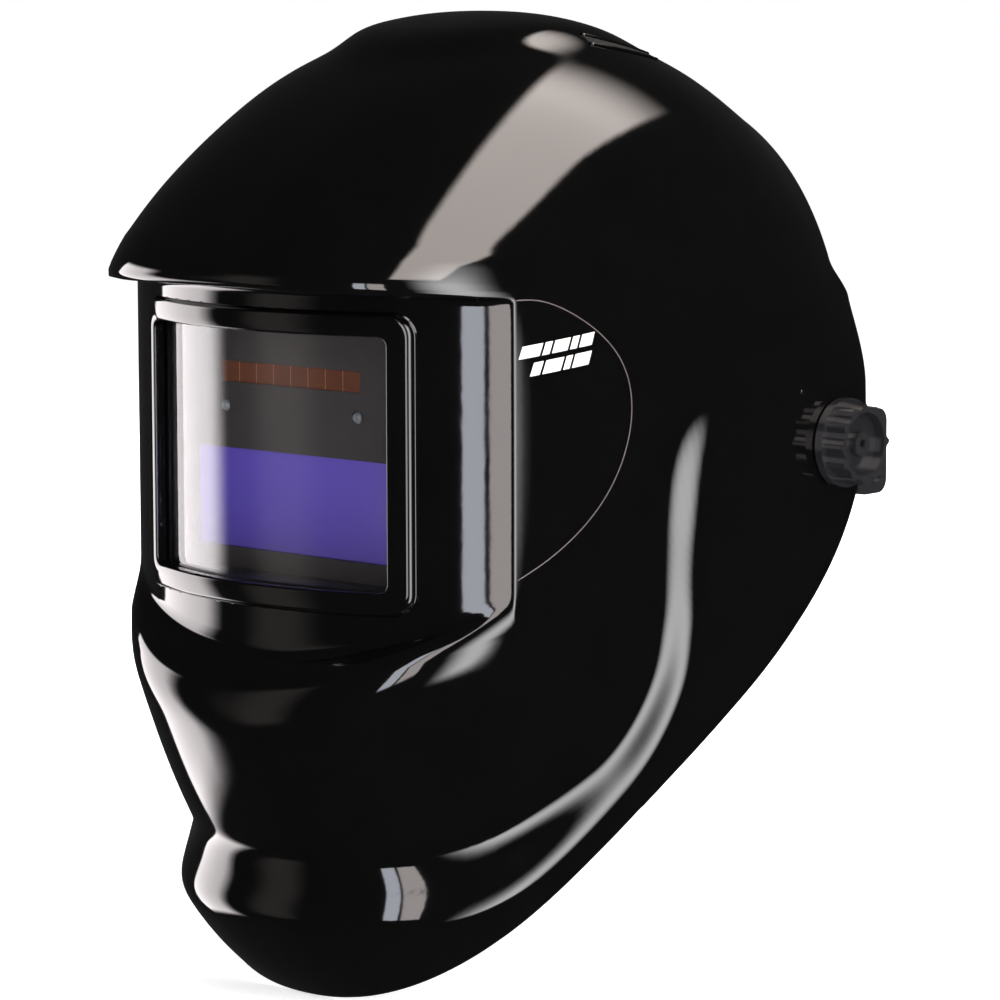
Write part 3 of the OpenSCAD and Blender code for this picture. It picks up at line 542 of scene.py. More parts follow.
def relief(points, on_band):
    """Height of the step and of the crown pad over the plain hull at each point."""
    y, z = points[..., 1], points[..., 2]
    height = step_height + bib_extra * smooth(-70, -150, y) - dome_less * smooth(20, 55, z)
    step = np.where(on_band, 0, height * smooth(-1, 1, step_distance(points) / step_reach))
    oval = np.hypot(points[..., 0] / pad_half_x, (y - pad_y) / pad_half_y)
    pad = pad_height * (1 - smooth(0.93, 1.05, oval)) * (1 - 0.85 * smooth(-75, 5, y))
    return step + np.where(z > 60, pad, 0)


def relax(p, rounds, share=1.0):
    """Rounds the edges a little: each inner point moves half way to its neighbours' mean."""
    for _ in range(rounds):
        mean = (p[:-2, 1:-1] + p[2:, 1:-1] + p[1:-1, :-2] + p[1:-1, 2:]) / 4
        p = p.copy()
        p[1:-1, 1:-1] += 0.5 * (share * (mean - p[1:-1, 1:-1]))
    return p


def away_from_band(on_band, reach):
    """1 where a point of the grid is more than reach steps from the band, 0 beside it."""
    near = on_band.astype(float)
    for _ in range(reach):
        grown = near.copy()
        grown[1:] = np.maximum(grown[1:], near[:-1])
        grown[:-1] = np.maximum(grown[:-1], near[1:])
        grown[:, 1:] = np.maximum(grown[:, 1:], near[:, :-1])
        grown[:, :-1] = np.maximum(grown[:, :-1], near[:, 1:])
        near = grown
    return 1 - near[1:-1, 1:-1, None]


base, on_band, hole = shell_grid()
edge_rounds, skin_rounds, band_margin = 2, 14, 5
face = relax(base + relief(base, on_band)[..., None] * grid_normals(base), edge_rounds)
face = relax(face, skin_rounds, away_from_band(on_band, band_margin))
back = face - wall * grid_normals(face)
print("shell face:", face.shape[0], "rows by", face.shape[1], "columns")


# %% [markdown]
# ## Closing the shell
# The face and the back are two grids. They are joined round the outer rim by a rounded bead, as the
# mould leaves it, and round the window by a plain edge that the window's raised rim then covers.

# %% Build the shell
def strip(loop_a, loop_b):
    """Four-sided faces between two closed loops of point numbers."""
    n = len(loop_a)
    return [(loop_a[i], loop_a[(i + 1) % n], loop_b[(i + 1) % n], loop_b[i]) for i in range(n)]


def border(m, n, i0=0, i1=None, j0=0, j1=None):
    """Indices round the edge of a block of the grid, as (row, column) pairs."""
    i1, j1 = m - 1 if i1 is None else i1, n - 1 if j1 is None else j1
    return ([(i0, j) for j in range(j0, j1)] + [(i, j1) for i in range(i0, i1)]
            + [(i1, j) for j in range(j1, j0, -1)] + [(i, j0) for i in range(i1, i0, -1)])


def shell_mesh():
    """Face, back, rolled outer rim and window edge of the shell as points and faces."""
    m, n = face.shape[:2]
    i0, i1, j0, j1 = hole
    index = lambda i, j, layer: layer * m * n + i * n + j
    quads = []
    for layer in (0, 1):
        for i in range(m - 1):
            for j in range(n - 1):
                if i0 <= i < i1 and j0 <= j < j1:
                    continue
                quads.append((index(i, j, layer), index(i, j + 1, layer),
                              index(i + 1, j + 1, layer), index(i + 1, j, layer)))
    points = list(face.reshape(-1, 3)) + list(back.reshape(-1, 3))
    rim = border(m, n)
    loops = [[index(i, j, 0) for i, j in rim]]
    for turn in (45, 90, 135):
        loop = []
        for i, j in rim:
            inner = (min(max(i, 1), m - 2), min(max(j, 1), n - 2))
            away = face[i, j] - face[inner]
            away = away / np.linalg.norm(away)
            mid, arm = (face[i, j] + back[i, j]) / 2, (face[i, j] - back[i, j]) / 2
            loop.append(len(points))
            points.append(mid + arm * math.cos(math.radians(turn))
                          + away * wall / 2 * math.sin(math.radians(turn)))
        loops.append(loop)
    loops.append([index(i, j, 1) for i, j in rim])
    for a, b in zip(loops, loops[1:]):
        quads += strip(a, b)
    edge = border(m, n, i0, i1, j0, j1)
    quads += strip([index(i, j, 0) for i, j in edge], [index(i, j, 1) for i, j in edge])
    return points, quads


# %% [markdown]
# ## What the black parts are made of
# Welding shells are moulded in glass-free nylon with a polished tool, so the skin is almost a
# mirror with a very faint orange peel. The rim round the window is the same plastic, while the
# frame behind it and the cartridge are moulded in a finer, satin texture.

# %% Finishes of the plastic parts
def plastic(name, low, high, rough, grain, depth, ior=1.46):
    """A moulded plastic whose colour and gloss drift a little, with the tool's fine grain."""
    mat, shader = finish(name, low, IOR=ior)
    varied(mat, shader, "Base Color", low, high, 60)
    varied(mat, shader, "Roughness", rough * 0.85, rough * 1.15, 90)
    noise_bump(mat, shader, grain, 0.25, depth)
    return mat


# Gloss black nylon off a polished tool: deep, wet black with sharp reflections
gloss_black = plastic("gloss_black_nylon", "#030303", "#060606", 0.05, 140, 0.00005, 1.5)
# Satin black nylon off a spark-eroded tool: dark grey under light, no sharp reflections
satin_black = plastic("satin_black_nylon", "#141415", "#19191b", 0.38, 2600, 0.00006)
# Semi-gloss moulded knob plastic: broad soft highlights on its flutes
knob_black = plastic("semi_gloss_knob_plastic", "#18181a", "#202022", 0.17, 900, 0.00005, 1.6)
# The cartridge's face plate: matt, warm dark grey
plate_grey = plastic("matt_warm_grey_plate", "#251f1e", "#2d2625", 0.5, 1800, 0.00005)
# Flexible polypropylene of the headgear: softer, slightly greasy sheen
headgear_plastic = plastic("flexible_polypropylene", "#1c1c1e", "#232326", 0.34, 700, 0.00006)


# %% [markdown]
# ## The shell as one piece
# The points come from the formula, so the piece is made from its mesh data. No pivot holes are cut
# in it, because the knobs and washers hide them outside and the bushes and levers hide them inside.

# %% Shell
points, quads = shell_mesh()
shell = mesh_piece("shell_moulding", points, quads, gloss_black, "shell")
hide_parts("shell")
print("shell triangles:", 2 * len(quads))


# %% [markdown]
# ## Small marks moulded or stuck on the shell
# Thin details lie on a surface that curves two ways, so each is drawn flat in a side or top view
# and dropped onto the shell. A ray finds the shell under every point, and the detail's top is
# lifted along the shell's own normal there.

# %% Drop flat drawings onto the shell
tree_of_shell = BVHTree.FromObject(shell, bpy.context.evaluated_depsgraph_get())


def drop(points_2d, view):
    """Places and normals on the shell under 2-D points of the side (Y, Z) or top (X, Y) view."""
    places, normals = [], []
    for u, v in points_2d:
        if view == "top":
            start, ray_dir = Vector((u, v, 300)), Vector((0, 0, -1))
        else:
            start, ray_dir = Vector((300 * view, u, v)), Vector((-view, 0, 0))
        hit, normal, _, _ = tree_of_shell.ray_cast(start * MM, ray_dir)
        places.append(np.array(hit) / MM)
        normals.append(np.array(normal) * (1 if normal.dot(ray_dir) < 0 else -1))
    return np.array(places), np.array(normals)


def dropped_strip(name, line_a, line_b, view, height, mat, across=2, crown=0.0):
    """A closed thin piece between two lines of a drawing; crown rounds its top across."""
    n = len(line_a)
    layers = []
    for lift in (-0.3, height):
        for t in np.linspace(0, 1, across + 1):
            place, normal = drop(np.array(line_a) * (1 - t) + np.array(line_b) * t, view)
            bulge = crown * math.sin(math.pi * t) if lift > 0 else 0
            layers.append(place + normal * (lift + bulge))
    pts = np.concatenate(layers)
    half = (across + 1) * n
    quads = []
    for layer_start in (0, half):
        quads += [(layer_start + j * n + i, layer_start + j * n + i + 1,
                   layer_start + (j + 1) * n + i + 1, layer_start + (j + 1) * n + i)
                  for j in range(across) for i in range(n - 1)]
    edge = [j * n + i for j, i in border(across + 1, n)]
    quads += strip(edge, [e + half for e in edge])
    return mesh_piece(name, pts, quads, mat, "shell")


def line(a, b, steps):
    """Even points from a to b."""
    return np.linspace(np.array(a, float), np.array(b, float), steps)


# %% [markdown]
# A clear film protects each cheek, cut to an arc behind the window; only its edge is seen. On it
# sits a printed mark, here two rows of slanted bars that belong to no maker. In front of each
# pivot, a little above it, is one moulded index pip.

# %% Film edge, mark and pips
film_edge = plastic("cut_edge_of_clear_film", "#4c4547", "#5b5355", 0.35, 800, 0.00003)
# Screen-printed white ink: flat, slightly chalky, edges a little raised
white_ink = plastic("white_screen_ink", "#d9d9d8", "#e8e8e6", 0.45, 1800, 0.00003)
arc = spline(np.array([(-143.2, 58.0), (-136, 58.3), (-127, 56.0), (-112, 46.6), (-103.8, 37.8),
                       (-99.6, 28), (-98.2, 15), (-103.6, -1.4), (-112, -13), (-120, -21),
                       (-131.4, -30), (-142.8, -36)]), 8)
for _ in range(60):
    arc[1:-1] = (arc[:-2] + 2 * arc[1:-1] + arc[2:]) / 4
tangent = np.gradient(arc, axis=0)
sideways = np.stack([-tangent[:, 1], tangent[:, 0]], -1)
sideways /= np.linalg.norm(sideways, axis=1, keepdims=True)
film_half = 0.18
for view, tag in ((1, "left"), (-1, "right")):
    edge = dropped_strip("film_edge_" + tag, arc - film_half * sideways,
                         arc + film_half * sideways, view,
                         0.1, film_edge, 1)

rise, bar_gap, bar_lean = 0.14, 0.9, 0.33
rows_of_bars = [(-142.4, 38.2, 4.3, (7.2, 2.6, 5.8, 2.6, 5.0)),
                (-138.6, 32.4, 4.6, (3.4, 6.6, 2.4, 6.4))]
for row_at, (y, z, tall, lengths) in enumerate(rows_of_bars):
    for k, long in enumerate(lengths):
        low = line((y, z), (y + long, z + long * rise), 6)
        mark = dropped_strip(f"mark_bar_{row_at}_{k}", low, low + (bar_lean * tall, tall), 1, 0.05,
                             white_ink, 3)
        y, z = y + long + bar_gap, z + (long + bar_gap) * rise
print("bars in the mark:", sum(len(lengths) for *_, lengths in rows_of_bars))

for view, tag in ((1, "left"), (-1, "right")):
    pip_y, pip_z, pip_r, pip_reach, pip_steps = -22.3, 19.4, 1.05, 0.95, 9
    low = line((pip_y - pip_reach, pip_z), (pip_y + pip_reach, pip_z), pip_steps)
    bow = np.stack([np.zeros(pip_steps), np.sqrt(pip_r ** 2 - (low[:, 0] - pip_y) ** 2)], -1)
    item = dropped_strip("index_pip_" + tag, low - bow, low + bow, view, 0.1, gloss_black, 6, 0.4)

# %% [markdown]
# Two long vents lie beside the crown pad. Each is a slot in a shallow frame; from outside only its
# dark inside and its rounded frame are seen. No slot is cut: its dark inside is painted shade, a
# near-black matt strip laid on the shell between the two rims.

# %% Crown vents
# Painted shade: a near-black matt strip stands in for the shade inside the open slot
slot_painted_shade = plastic("dark_vent_slot", "#020202", "#040404", 0.8, 900, 0.00005)
for side, tag in ((1, "left"), (-1, "right")):
    middle = spline(np.array([(47.5, -56), (49.5, -48), (50.5, -38), (50, -28), (48.5, -20)]), 6)
    middle = middle * (side, 1)
    for offset, width, height, mat, part in ((0, 3.0, 0.12, slot_painted_shade, "slot"),
                                             (-2.1, 1.0, 0.35, gloss_black, "inner_lip"),
                                             (2.1, 1.0, 0.35, gloss_black, "outer_lip")):
        a, b = offset - width / 2, offset + width / 2
        item = dropped_strip(f"vent_{part}_{tag}", middle + (a * side, 0), middle + (b * side, 0),
                             "top", height, mat, 4, 0.0 if part == "slot" else 0.4)


# %% [markdown]
# ## Raised rim round the window
# On the real shell a smooth rim frames the opening, with its edges rounded by about a millimetre.
# It is a section swept round the opening and wrapped onto the window band's cylinder.

# %% Rim
def rounded_path(half_x, half_z, radius, corner=10, side=14):
    """Points of a rounded rectangle, anticlockwise seen from the front."""
    out = []
    quarter = [(1, 1), (-1, 1), (-1, -1), (1, -1)]
    for k, (sx, sz) in enumerate(quarter):
        cx, cz = sx * (half_x - radius), sz * (half_z - radius)
        for t in np.linspace(0, math.pi / 2, corner + 1):
            a = t + k * math.pi / 2
            out.append((cx + radius * math.cos(a), cz + radius * math.sin(a)))
        nx, nz = quarter[(k + 1) % 4]
        end = (nx * (half_x - radius) + radius * math.cos((k + 1) * math.pi / 2),
               nz * (half_z - radius) + radius * math.sin((k + 1) * math.pi / 2))
        start = out[-1]
        out += [(start[0] + (end[0] - start[0]) * t, start[1] + (end[1] - start[1]) * t)
                for t in np.linspace(0, 1, side + 1)[1:-1]]
    return np.array(out)


def wrap(xz, height):
    """Frontal points laid on the window band, a height proud of it."""
    xz = np.asarray(xz, float)
    return np.stack([xz[:, 0], band_front(xz[:, 0], height), xz[:, 1] + window_z], -1)


def ring_mesh(loops):
    """Closed loops of equal length joined into a closed ring."""
    n = len(loops[0])
    index = [list(range(k * n, (k + 1) * n)) for k in range(len(loops))]
    quads = []
    for a, b in zip(index, index[1:] + index[:1]):
        quads += strip(a, b)
    return np.concatenate(loops), quads


window_half = (55.0, 43.2)
profile = [(0.3, -2.7), (0.05, -2.2), (0, 1.0), (0.1, 1.45), (0.4, 1.82), (0.9, 2.0), (3, 2.05),
           (6.4, 2.0), (7.1, 1.82), (7.65, 1.35), (7.95, 0.7), (8.1, 0.2), (8.3, 0.02),
           (8.8, -0.04), (9.2, -0.35), (8.6, -1.2), (4, -2.4)]
rim_loops = [wrap(rounded_path(window_half[0] + d, window_half[1] + d, 3.2 + 0.6 * max(d, 0)), h)
             for d, h in profile]
rim = mesh_piece("window_rim", *ring_mesh(rim_loops), gloss_black, "shell")
print("rim faces:", len(rim.data.polygons))

# %% [markdown]
# ## Cover lens
# A clear polycarbonate sheet, bent to the band and sprung in behind the rim. It scratches, so it is
# the part that is changed most often. Light passes it almost unchanged and it mirrors the room.

# %% Cover lens
# Clear polycarbonate, extruded and polished: light goes straight through, faces mirror about a
# twentieth of it and more at a glancing angle, and a faint ripple keeps the mirror from being glass
clear = bpy.data.materials.new("clear_polycarbonate")
clear.use_nodes = True
clear.node_tree.nodes.remove(clear.node_tree.nodes["Principled BSDF"])
clear_out = clear.node_tree.nodes["Material Output"]
through = add(clear, "ShaderNodeBsdfTransparent", {"Color": colour("#f6f7f8")})
sheen = add(clear, "ShaderNodeBsdfGlossy", {"Roughness": 0.02})
tilt = add(clear, "ShaderNodeLayerWeight", {"Blend": 0.5})
grazing = add(clear, "ShaderNodeMath", {"operation": "POWER", 1: 4.0}, in0=(tilt, "Facing"))
facing = add(clear, "ShaderNodeMath", {"operation": "MULTIPLY_ADD", 1: 0.6, 2: 0.045},
             in0=(grazing, 0))
place = add(clear, "ShaderNodeTexCoord")
ripple = add(clear, "ShaderNodeTexNoise", {"Scale": 30.0, "Detail": 1.0}, Vector=(place, "Object"))
waves = add(clear, "ShaderNodeBump", {"Strength": 0.12, "Distance": 0.0003}, Height=(ripple, "Fac"))
for node in (sheen, tilt):
    clear.node_tree.links.new(waves.outputs["Normal"], node.inputs["Normal"])
layer = add(clear, "ShaderNodeMixShader", in0=(facing, 0), in1=(through, 0), in2=(sheen, 0))
clear.node_tree.links.new(layer.outputs[0], clear_out.inputs["Surface"])


def slab(xs, zs, front, thickness):
    """A closed sheet over a grid of frontal places; front gives Y for each (x, z)."""
    nx, nz = len(xs), len(zs)
    pts = [(x, front(x, z) + t, z) for t in (0, thickness) for z in zs for x in xs]
    quads = []
    for layer_start in (0, nx * nz):
        quads += [(layer_start + j * nx + i, layer_start + j * nx + i + 1,
                   layer_start + (j + 1) * nx + i + 1, layer_start + (j + 1) * nx + i)
                  for j in range(nz - 1) for i in range(nx - 1)]
    edge = [j * nx + i for j, i in border(nz, nx)]
    quads += strip(edge, [e + nx * nz for e in edge])
    return pts, quads


lens_half, lens_low, lens_high, lens_t, lens_back = 60.5, -46.5, 50.9, 1.5, 2.75
lens_points, lens_quads = slab(np.linspace(-lens_half, lens_half, 61),
                               np.linspace(lens_low, lens_high, 3),
                               lambda x, z: band_front(x, -lens_back), lens_t)
cover_lens = mesh_piece("cover_lens_sheet", lens_points, lens_quads, clear, "shell")
choose(cover_lens)
bpy.ops.object.shade_smooth_by_angle(angle=math.radians(40))
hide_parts("cover_lens")
print("cover lens in mm:", 2 * lens_half, "by", lens_high - lens_low, "by", lens_t)

# %% [markdown]
# ## Face of the cartridge
# Above the violet filter glass a strip of solar cells feeds the cartridge and two photodiodes
# watch for the arc. The cells are brown amorphous silicon on glass, parted by laser-cut lines.

# %% Solar strip
# Amorphous silicon on glass, laser-scribed: brown, cloudy, glossy, with fine paler lines
cell_pitch = 0.00825
cells, cells_shader = finish("amorphous_silicon_cells", "#5a3524", Roughness=0.14)
place = add(cells, "ShaderNodeTexCoord")
split = add(cells, "ShaderNodeSeparateXYZ", Vector=(place, "Object"))
count = add(cells, "ShaderNodeMath", {"operation": "MULTIPLY_ADD", 1: 1 / cell_pitch, 2: 0.5},
            in0=(split, "X"))
step = add(cells, "ShaderNodeMath", {"operation": "FRACT"}, in0=(count, 0))
off = add(cells, "ShaderNodeMath", {"operation": "SUBTRACT", 1: 0.5}, in0=(step, 0))
near = add(cells, "ShaderNodeMath", {"operation": "ABSOLUTE"}, in0=(off, 0))
lines = add(cells, "ShaderNodeMapRange", {"From Min": 0.012, "From Max": 0.025}, Value=(near, 0))
cloud = add(cells, "ShaderNodeTexNoise", {"Scale": 90.0}, Vector=(place, "Object"))
tone = add(cells, "ShaderNodeMix", {"data_type": "RGBA"}, in0=(cloud, 0))
tone.inputs[6].default_value, tone.inputs[7].default_value = colour("#4f2c1d"), colour("#643a27")
lined = add(cells, "ShaderNodeMix", {"data_type": "RGBA"}, in0=(lines, 0), in7=(tone, 2))
lined.inputs[6].default_value = colour("#8d6550")
link(cells, lined, 2, cells_shader, "Base Color")

face_y, panel_half, panel_z, panel_rise, panel_t = -158.0, 33, 28, 3.6, 0.9
strip_points, strip_quads = slab(np.linspace(-panel_half, panel_half, 9),
                                 np.array([panel_z - panel_rise, panel_z + panel_rise]),
                                 lambda x, z: face_y + 0.35, panel_t)
solar = mesh_piece("solar_cells", strip_points, strip_quads, cells, "shell")
choose(solar)
bpy.ops.object.shade_flat()
print("solar cells:", round(2 * panel_half * MM / cell_pitch))

# %% [markdown]
# ## Headgear bands
# The headgear is moulded flat in flexible polypropylene and bent round the head. Each band is one
# rounded section swept along its curve: nearly flat inside, with a raised bead along both edges
# outside, which is how thin bands are kept from tearing.

# %% Bands
def band_section(width, thick, bead=0.35):
    """Section of a band as (across the width, outwards) points, anticlockwise."""
    w, t = width / 2, thick / 2
    half = [(w - 2.6, t), (w - 2.0, t + bead * 0.7), (w - 1.2, t + bead), (w - 0.5, t + bead * 0.6),
            (w - 0.08, t * 0.5), (w, 0), (w - 0.12, -t * 0.6), (w - 0.6, -t)]
    return half + [(0, -t)] + [(-u, v) for u, v in reversed(half)] + [(0, t)]


def swept_band(name, path, width_dir, width, thick, mat, body, outward=1, bead=0.35):
    """A closed band along a path, with its width near width_dir."""
    path = np.asarray(path, float)
    along = np.gradient(path, axis=0)
    along /= np.linalg.norm(along, axis=1, keepdims=True)
    wide = np.array(width_dir, float) - (along @ np.array(width_dir, float))[:, None] * along
    wide /= np.linalg.norm(wide, axis=1, keepdims=True)
    out = np.cross(along, wide) * outward
    shape = band_section(width, thick, bead)
    m, n = len(path), len(shape)
    pts, quads = [], []
    for i, shrink in [(0, 0.9)] + [(i, 1) for i in range(m)] + [(m - 1, 0.9)]:
        nudge = along[i] * (0.35 if shrink < 1 else 0) * (-1 if i == 0 else 1)
        pts += [path[i] + nudge + wide[i] * u * (shrink if shrink < 1 else 1) ** 0.5
                + out[i] * v * shrink for u, v in shape]
    for k in range(m + 1):
        for q in range(n):
            a, b = k * n + q, k * n + (q + 1) % n
            quads.append((a, b, b + n, a + n))
    quads += [tuple(range(n)), tuple(range((m + 1) * n, (m + 2) * n))]
    item = mesh_piece(name, pts, quads, mat, body)
    choose(item)
    bpy.ops.object.shade_smooth_by_angle(angle=math.radians(50))
    return item


head_w, head_l, band_t, band_z, nape_z = 157.0, 196.0, 1.8, 44.0, -45.0
headband_w, crown_strap_w, rear_strap_w = 28, 18, 17
crown_y, crown_rise, crown_steps = 27.0, 62, 57
nape_y = head_l / 2 + 6


def band_point(t, off=0.0):
    a = np.radians(t)
    return np.stack([(head_w / 2 + band_t / 2 + off) * np.sin(a),
                     -(head_l / 2 + band_t / 2 + off) * np.cos(a),
                     band_z + 8 * np.cos(a) ** 2], -1)


headband = swept_band("headband_strip", band_point(np.linspace(-126, 126, 127)), (0, 0, 1),
                      headband_w, band_t, headgear_plastic, "headgear", 1)
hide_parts("headband")

for side, tag in ((1, "left"), (-1, "right")):
    a = np.linspace(-8, 104, crown_steps)
    over = 0 if side > 0 else np.clip((a - 60) / 12, 0, 1) * (band_t + 0.3)
    reach = head_w / 2 - 0.1 - band_t / 2 - 0.4 + over
    ring = np.radians(a)
    path = np.stack([side * reach * np.cos(ring), np.full(crown_steps, crown_y),
                     band_z + 2 + (crown_rise + over) * np.sin(ring)], -1)
    strap = swept_band("crown_strap_" + tag + "_strip", path, (0, 1, 0), crown_strap_w, band_t,
                       headgear_plastic, "headgear", side * -1, 0.15)
    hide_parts("crown_strap_" + tag)

    lead = band_point(np.array([115.0, 122.0]), band_t + 0.1)
    rest = np.array([(head_w * 0.345, head_l * 0.41, band_z - 26),
                     (head_w * 0.265, head_l * 0.505, nape_z + 14),
                     (34, nape_y + 1.4, nape_z + 3), (28, nape_y + 2.8, nape_z),
                     (9, nape_y + 2.8, nape_z)])
    path = spline(np.vstack([lead, rest]), 14) * (side, 1, 1)
    rear = swept_band("rear_strap_" + tag + "_strip", path, (0, 0, 1), rear_strap_w, band_t,
                      headgear_plastic, "headgear", side, 0.1)
    # mesh_piece gave this strap one body; it is taken off again, because two bodies pull it
    rear.parent = None
    del rear["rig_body"]
    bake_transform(rear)
    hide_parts("rear_strap_" + tag)
print("bands: one headband, two crown straps, two rear straps")

# %% [markdown]
# ## Padded parts
# The sweatband and the nape pad are foam in a knitted cover. A plain pad shape is remeshed and
# blown up a little by a cloth simulation with inner pressure, which gives the crowned faces and
# soft edges of foam in a tight cover. Seams are pressed in afterwards.

# %% Knit finish
# Knitted polyester over foam: dull black, with a soft sheen at its edges and fine loops. Loops of
# 0.4 mm would be too fine to show, so they are drawn about 1.6 mm apart
knit, knit_shader = finish("black_knitted_cover", "#161618", Roughness=0.9,
                           Sheen_Weight=0.35, Sheen_Roughness=0.5)
varied(knit, knit_shader, "Base Color", "#131315", "#1d1d20", 45)
place = add(knit, "ShaderNodeTexCoord")
spread = add(knit, "ShaderNodeMapping", {"Scale": (1.0, 1.0, 1.6)}, Vector=(place, "Object"))
loops = add(knit, "ShaderNodeTexVoronoi", {"Scale": 620.0}, Vector=(spread, "Vector"))
relief_of_loops = add(knit, "ShaderNodeBump", {"Strength": 0.7, "Distance": 0.0004},
                      Height=(loops, "Distance"))
link(knit, relief_of_loops, "Normal", knit_shader, "Normal")


pad_voxel, cloth_frames = 2.8, 20


def blown_pad(name, pts, quads, body, cap, seam):
    """A pad from a closed plain shape: remeshed, inflated by cloth, and seamed all round."""
    pad = mesh_piece(name, pts, quads, knit, body)
    choose(pad)
    voxels = pad.modifiers.new("voxels", "REMESH")
    voxels.mode, voxels.voxel_size = "VOXEL", pad_voxel * MM
    bpy.ops.object.modifier_apply(modifier="voxels")
    start = np.array([v.co for v in pad.data.vertices])
    cloth = pad.modifiers.new("cloth", "CLOTH")
    cloth.settings.use_pressure = True
    cloth.settings.uniform_pressure_force = 4
    cloth.settings.effector_weights.gravity = 0
    cloth.settings.quality = 5
    for step in range(1, cloth_frames + 1):
        bpy.context.scene.frame_set(step)
    blown = pad.evaluated_get(bpy.context.evaluated_depsgraph_get()).data
    moved = np.array([v.co for v in blown.vertices]) - start
    far = np.linalg.norm(moved, axis=1, keepdims=True)
    moved *= np.minimum(1, cap * MM / np.maximum(far, 1e-9))
    pad.modifiers.remove(cloth)
    bpy.context.scene.frame_set(1)
    pad.data.vertices.foreach_set("co", (start + moved).ravel())
    smooth_pass = pad.modifiers.new("smooth", "SMOOTH")
    smooth_pass.factor, smooth_pass.iterations = 0.5, 3
    finer = pad.modifiers.new("finer", "SUBSURF")
    finer.levels = finer.render_levels = 1
    for modifier in ("smooth", "finer"):
        bpy.ops.object.modifier_apply(modifier=modifier)
    co = np.array([v.co for v in pad.data.vertices])
    normals = np.array([v.normal for v in pad.data.vertices])
    depth = seam(co / MM)
    pad.data.vertices.foreach_set("co", (co - normals * depth[:, None] * MM).ravel())
    pad.data.update()
    bpy.ops.object.shade_smooth()
    print(name, "triangles:", 2 * len(pad.data.polygons))
    return pad


def groove(distance, width, depth):
    """A rounded furrow, deepest where the distance is 0."""
    return depth * np.exp(-(distance / width) ** 2)


def band_pad_mesh(angles, inner_off, thick, width):
    """A plain pad along the inside of the headband."""
    pts, quads = [], []
    for t in angles:
        inner, outer = band_point(t, inner_off - thick), band_point(t, inner_off)
        for p in (inner, outer):
            pts += [p - (0, 0, width / 2), p + (0, 0, width / 2)]
    for k in range(len(angles) - 1):
        a = 4 * k
        for i, j in ((0, 1), (1, 3), (3, 2), (2, 0)):
            quads.append((a + i, a + j, a + j + 4, a + i + 4))
    last = 4 * (len(angles) - 1)
    quads += [(0, 1, 3, 2), (last, last + 1, last + 3, last + 2)]
    return pts, quads


sweat_gap, sweat_t, sweat_w = 0.9, 4.6, 29
pts, quads = band_pad_mesh(np.linspace(-62, 62, 63), -band_t / 2 - sweat_gap, sweat_t, sweat_w)


long_seam = 11.5


def sweatband_seams(p):
    """Depth of the two long seams and the five short ones between them."""
    a = np.degrees(np.arctan2(p[:, 0] / (head_w / 2), -p[:, 1] / (head_l / 2)))
    level = p[:, 2] - band_z - 8 * np.cos(np.radians(a)) ** 2
    along = groove(np.abs(level) - long_seam, 0.9, 0.5)
    across = sum(groove((a - t) * 1.45, 1.2, 0.7) for t in (-42, -21, 0, 21, 42))
    return along + across * (np.abs(level) < long_seam)


sweat = blown_pad("sweatband_pad", pts, quads, "headgear", 1.2, sweatband_seams)
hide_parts("sweatband")

nape_half_x, nape_half_z, nape_round = 31.5, 17.5, 9
outline_pad = rounded_path(nape_half_x, nape_half_z, nape_round, 8, 8)
front, rear_face = nape_y - 6.4, nape_y - 1.0
loops_of_pad = [np.stack([outline_pad[:, 0] * k, np.full(len(outline_pad), y),
                          outline_pad[:, 1] * k + nape_z], -1)
                for y, k in ((front, 0.96), (front + 0.8, 1.0), (rear_face - 0.8, 1.0),
                             (rear_face, 0.97))]
n = len(outline_pad)
pts = np.concatenate(loops_of_pad)
quads = [q for k in range(3) for q in strip(list(range(k * n, k * n + n)),
                                            list(range(k * n + n, k * n + 2 * n)))]
quads += [tuple(range(n)), tuple(range(3 * n, 4 * n))]


def nape_seams(p):
    """Depth of the seam round the cushion's front and of the two upright ones on it."""
    x, z = np.abs(p[:, 0]), np.abs(p[:, 2] - nape_z)
    edge = np.maximum(x / nape_half_x, z / nape_half_z)
    on_front = p[:, 1] < (front + rear_face) / 2
    return (groove((edge - 0.82) * 20, 0.8, 0.6) + groove(x - 10.5, 0.9, 0.5)
            * (z < 14)) * on_front


nape = blown_pad("nape_cushion", pts, quads, "nape_ratchet", 1.0, nape_seams)
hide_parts("nape_pad")

# %% [markdown]
# ## The rest of the CAD pieces
# Small moulded and metal parts keep the shape the CAD gives them. A narrow bevel catches the light
# on their edges, and each takes the finish of what it is made of.

# %% Finishes of the small parts
def metal(name, tone, rough, scale):
    """A metal with a little wear in its gloss and a fine bump."""
    mat, shader = finish(name, tone, Metallic=1.0)
    varied(mat, shader, "Roughness", rough * 0.7, rough * 1.3, scale)
    noise_bump(mat, shader, scale * 6, 0.15, 0.00003)
    return mat


# Zinc-plated steel rivets and screws: pale grey, a little blue, brushed by the tumbling drum
zinc = metal("zinc_plated_steel", "#b9bcc0", 0.28, 400)
# Turned brass of the threaded inserts
brass = metal("turned_brass", "#c9a35a", 0.25, 500)
# Neoprene gasket: dull black rubber
rubber = plastic("black_neoprene", "#0f0f10", "#151516", 0.7, 1500, 0.0001)
# Fibre friction washer: red-brown pressed paper
fibre = plastic("vulcanised_fibre", "#5a2f20", "#6d3a28", 0.6, 1200, 0.0001)
# Green glass-epoxy board: smooth lacquer over woven glass
laminate = plastic("glass_epoxy_board", "#15482a", "#1d5a36", 0.4, 900, 0.00005)
# Moulded blue case of the potentiometers, half gloss
blue_plastic = plastic("blue_potentiometer_case", "#1f4f8f", "#285c9e", 0.35, 900, 0.00004)
# Light grey moulded button of the delay switch
grey_plastic = plastic("grey_slider_plastic", "#8d8f92", "#999b9e", 0.4, 900, 0.00004)
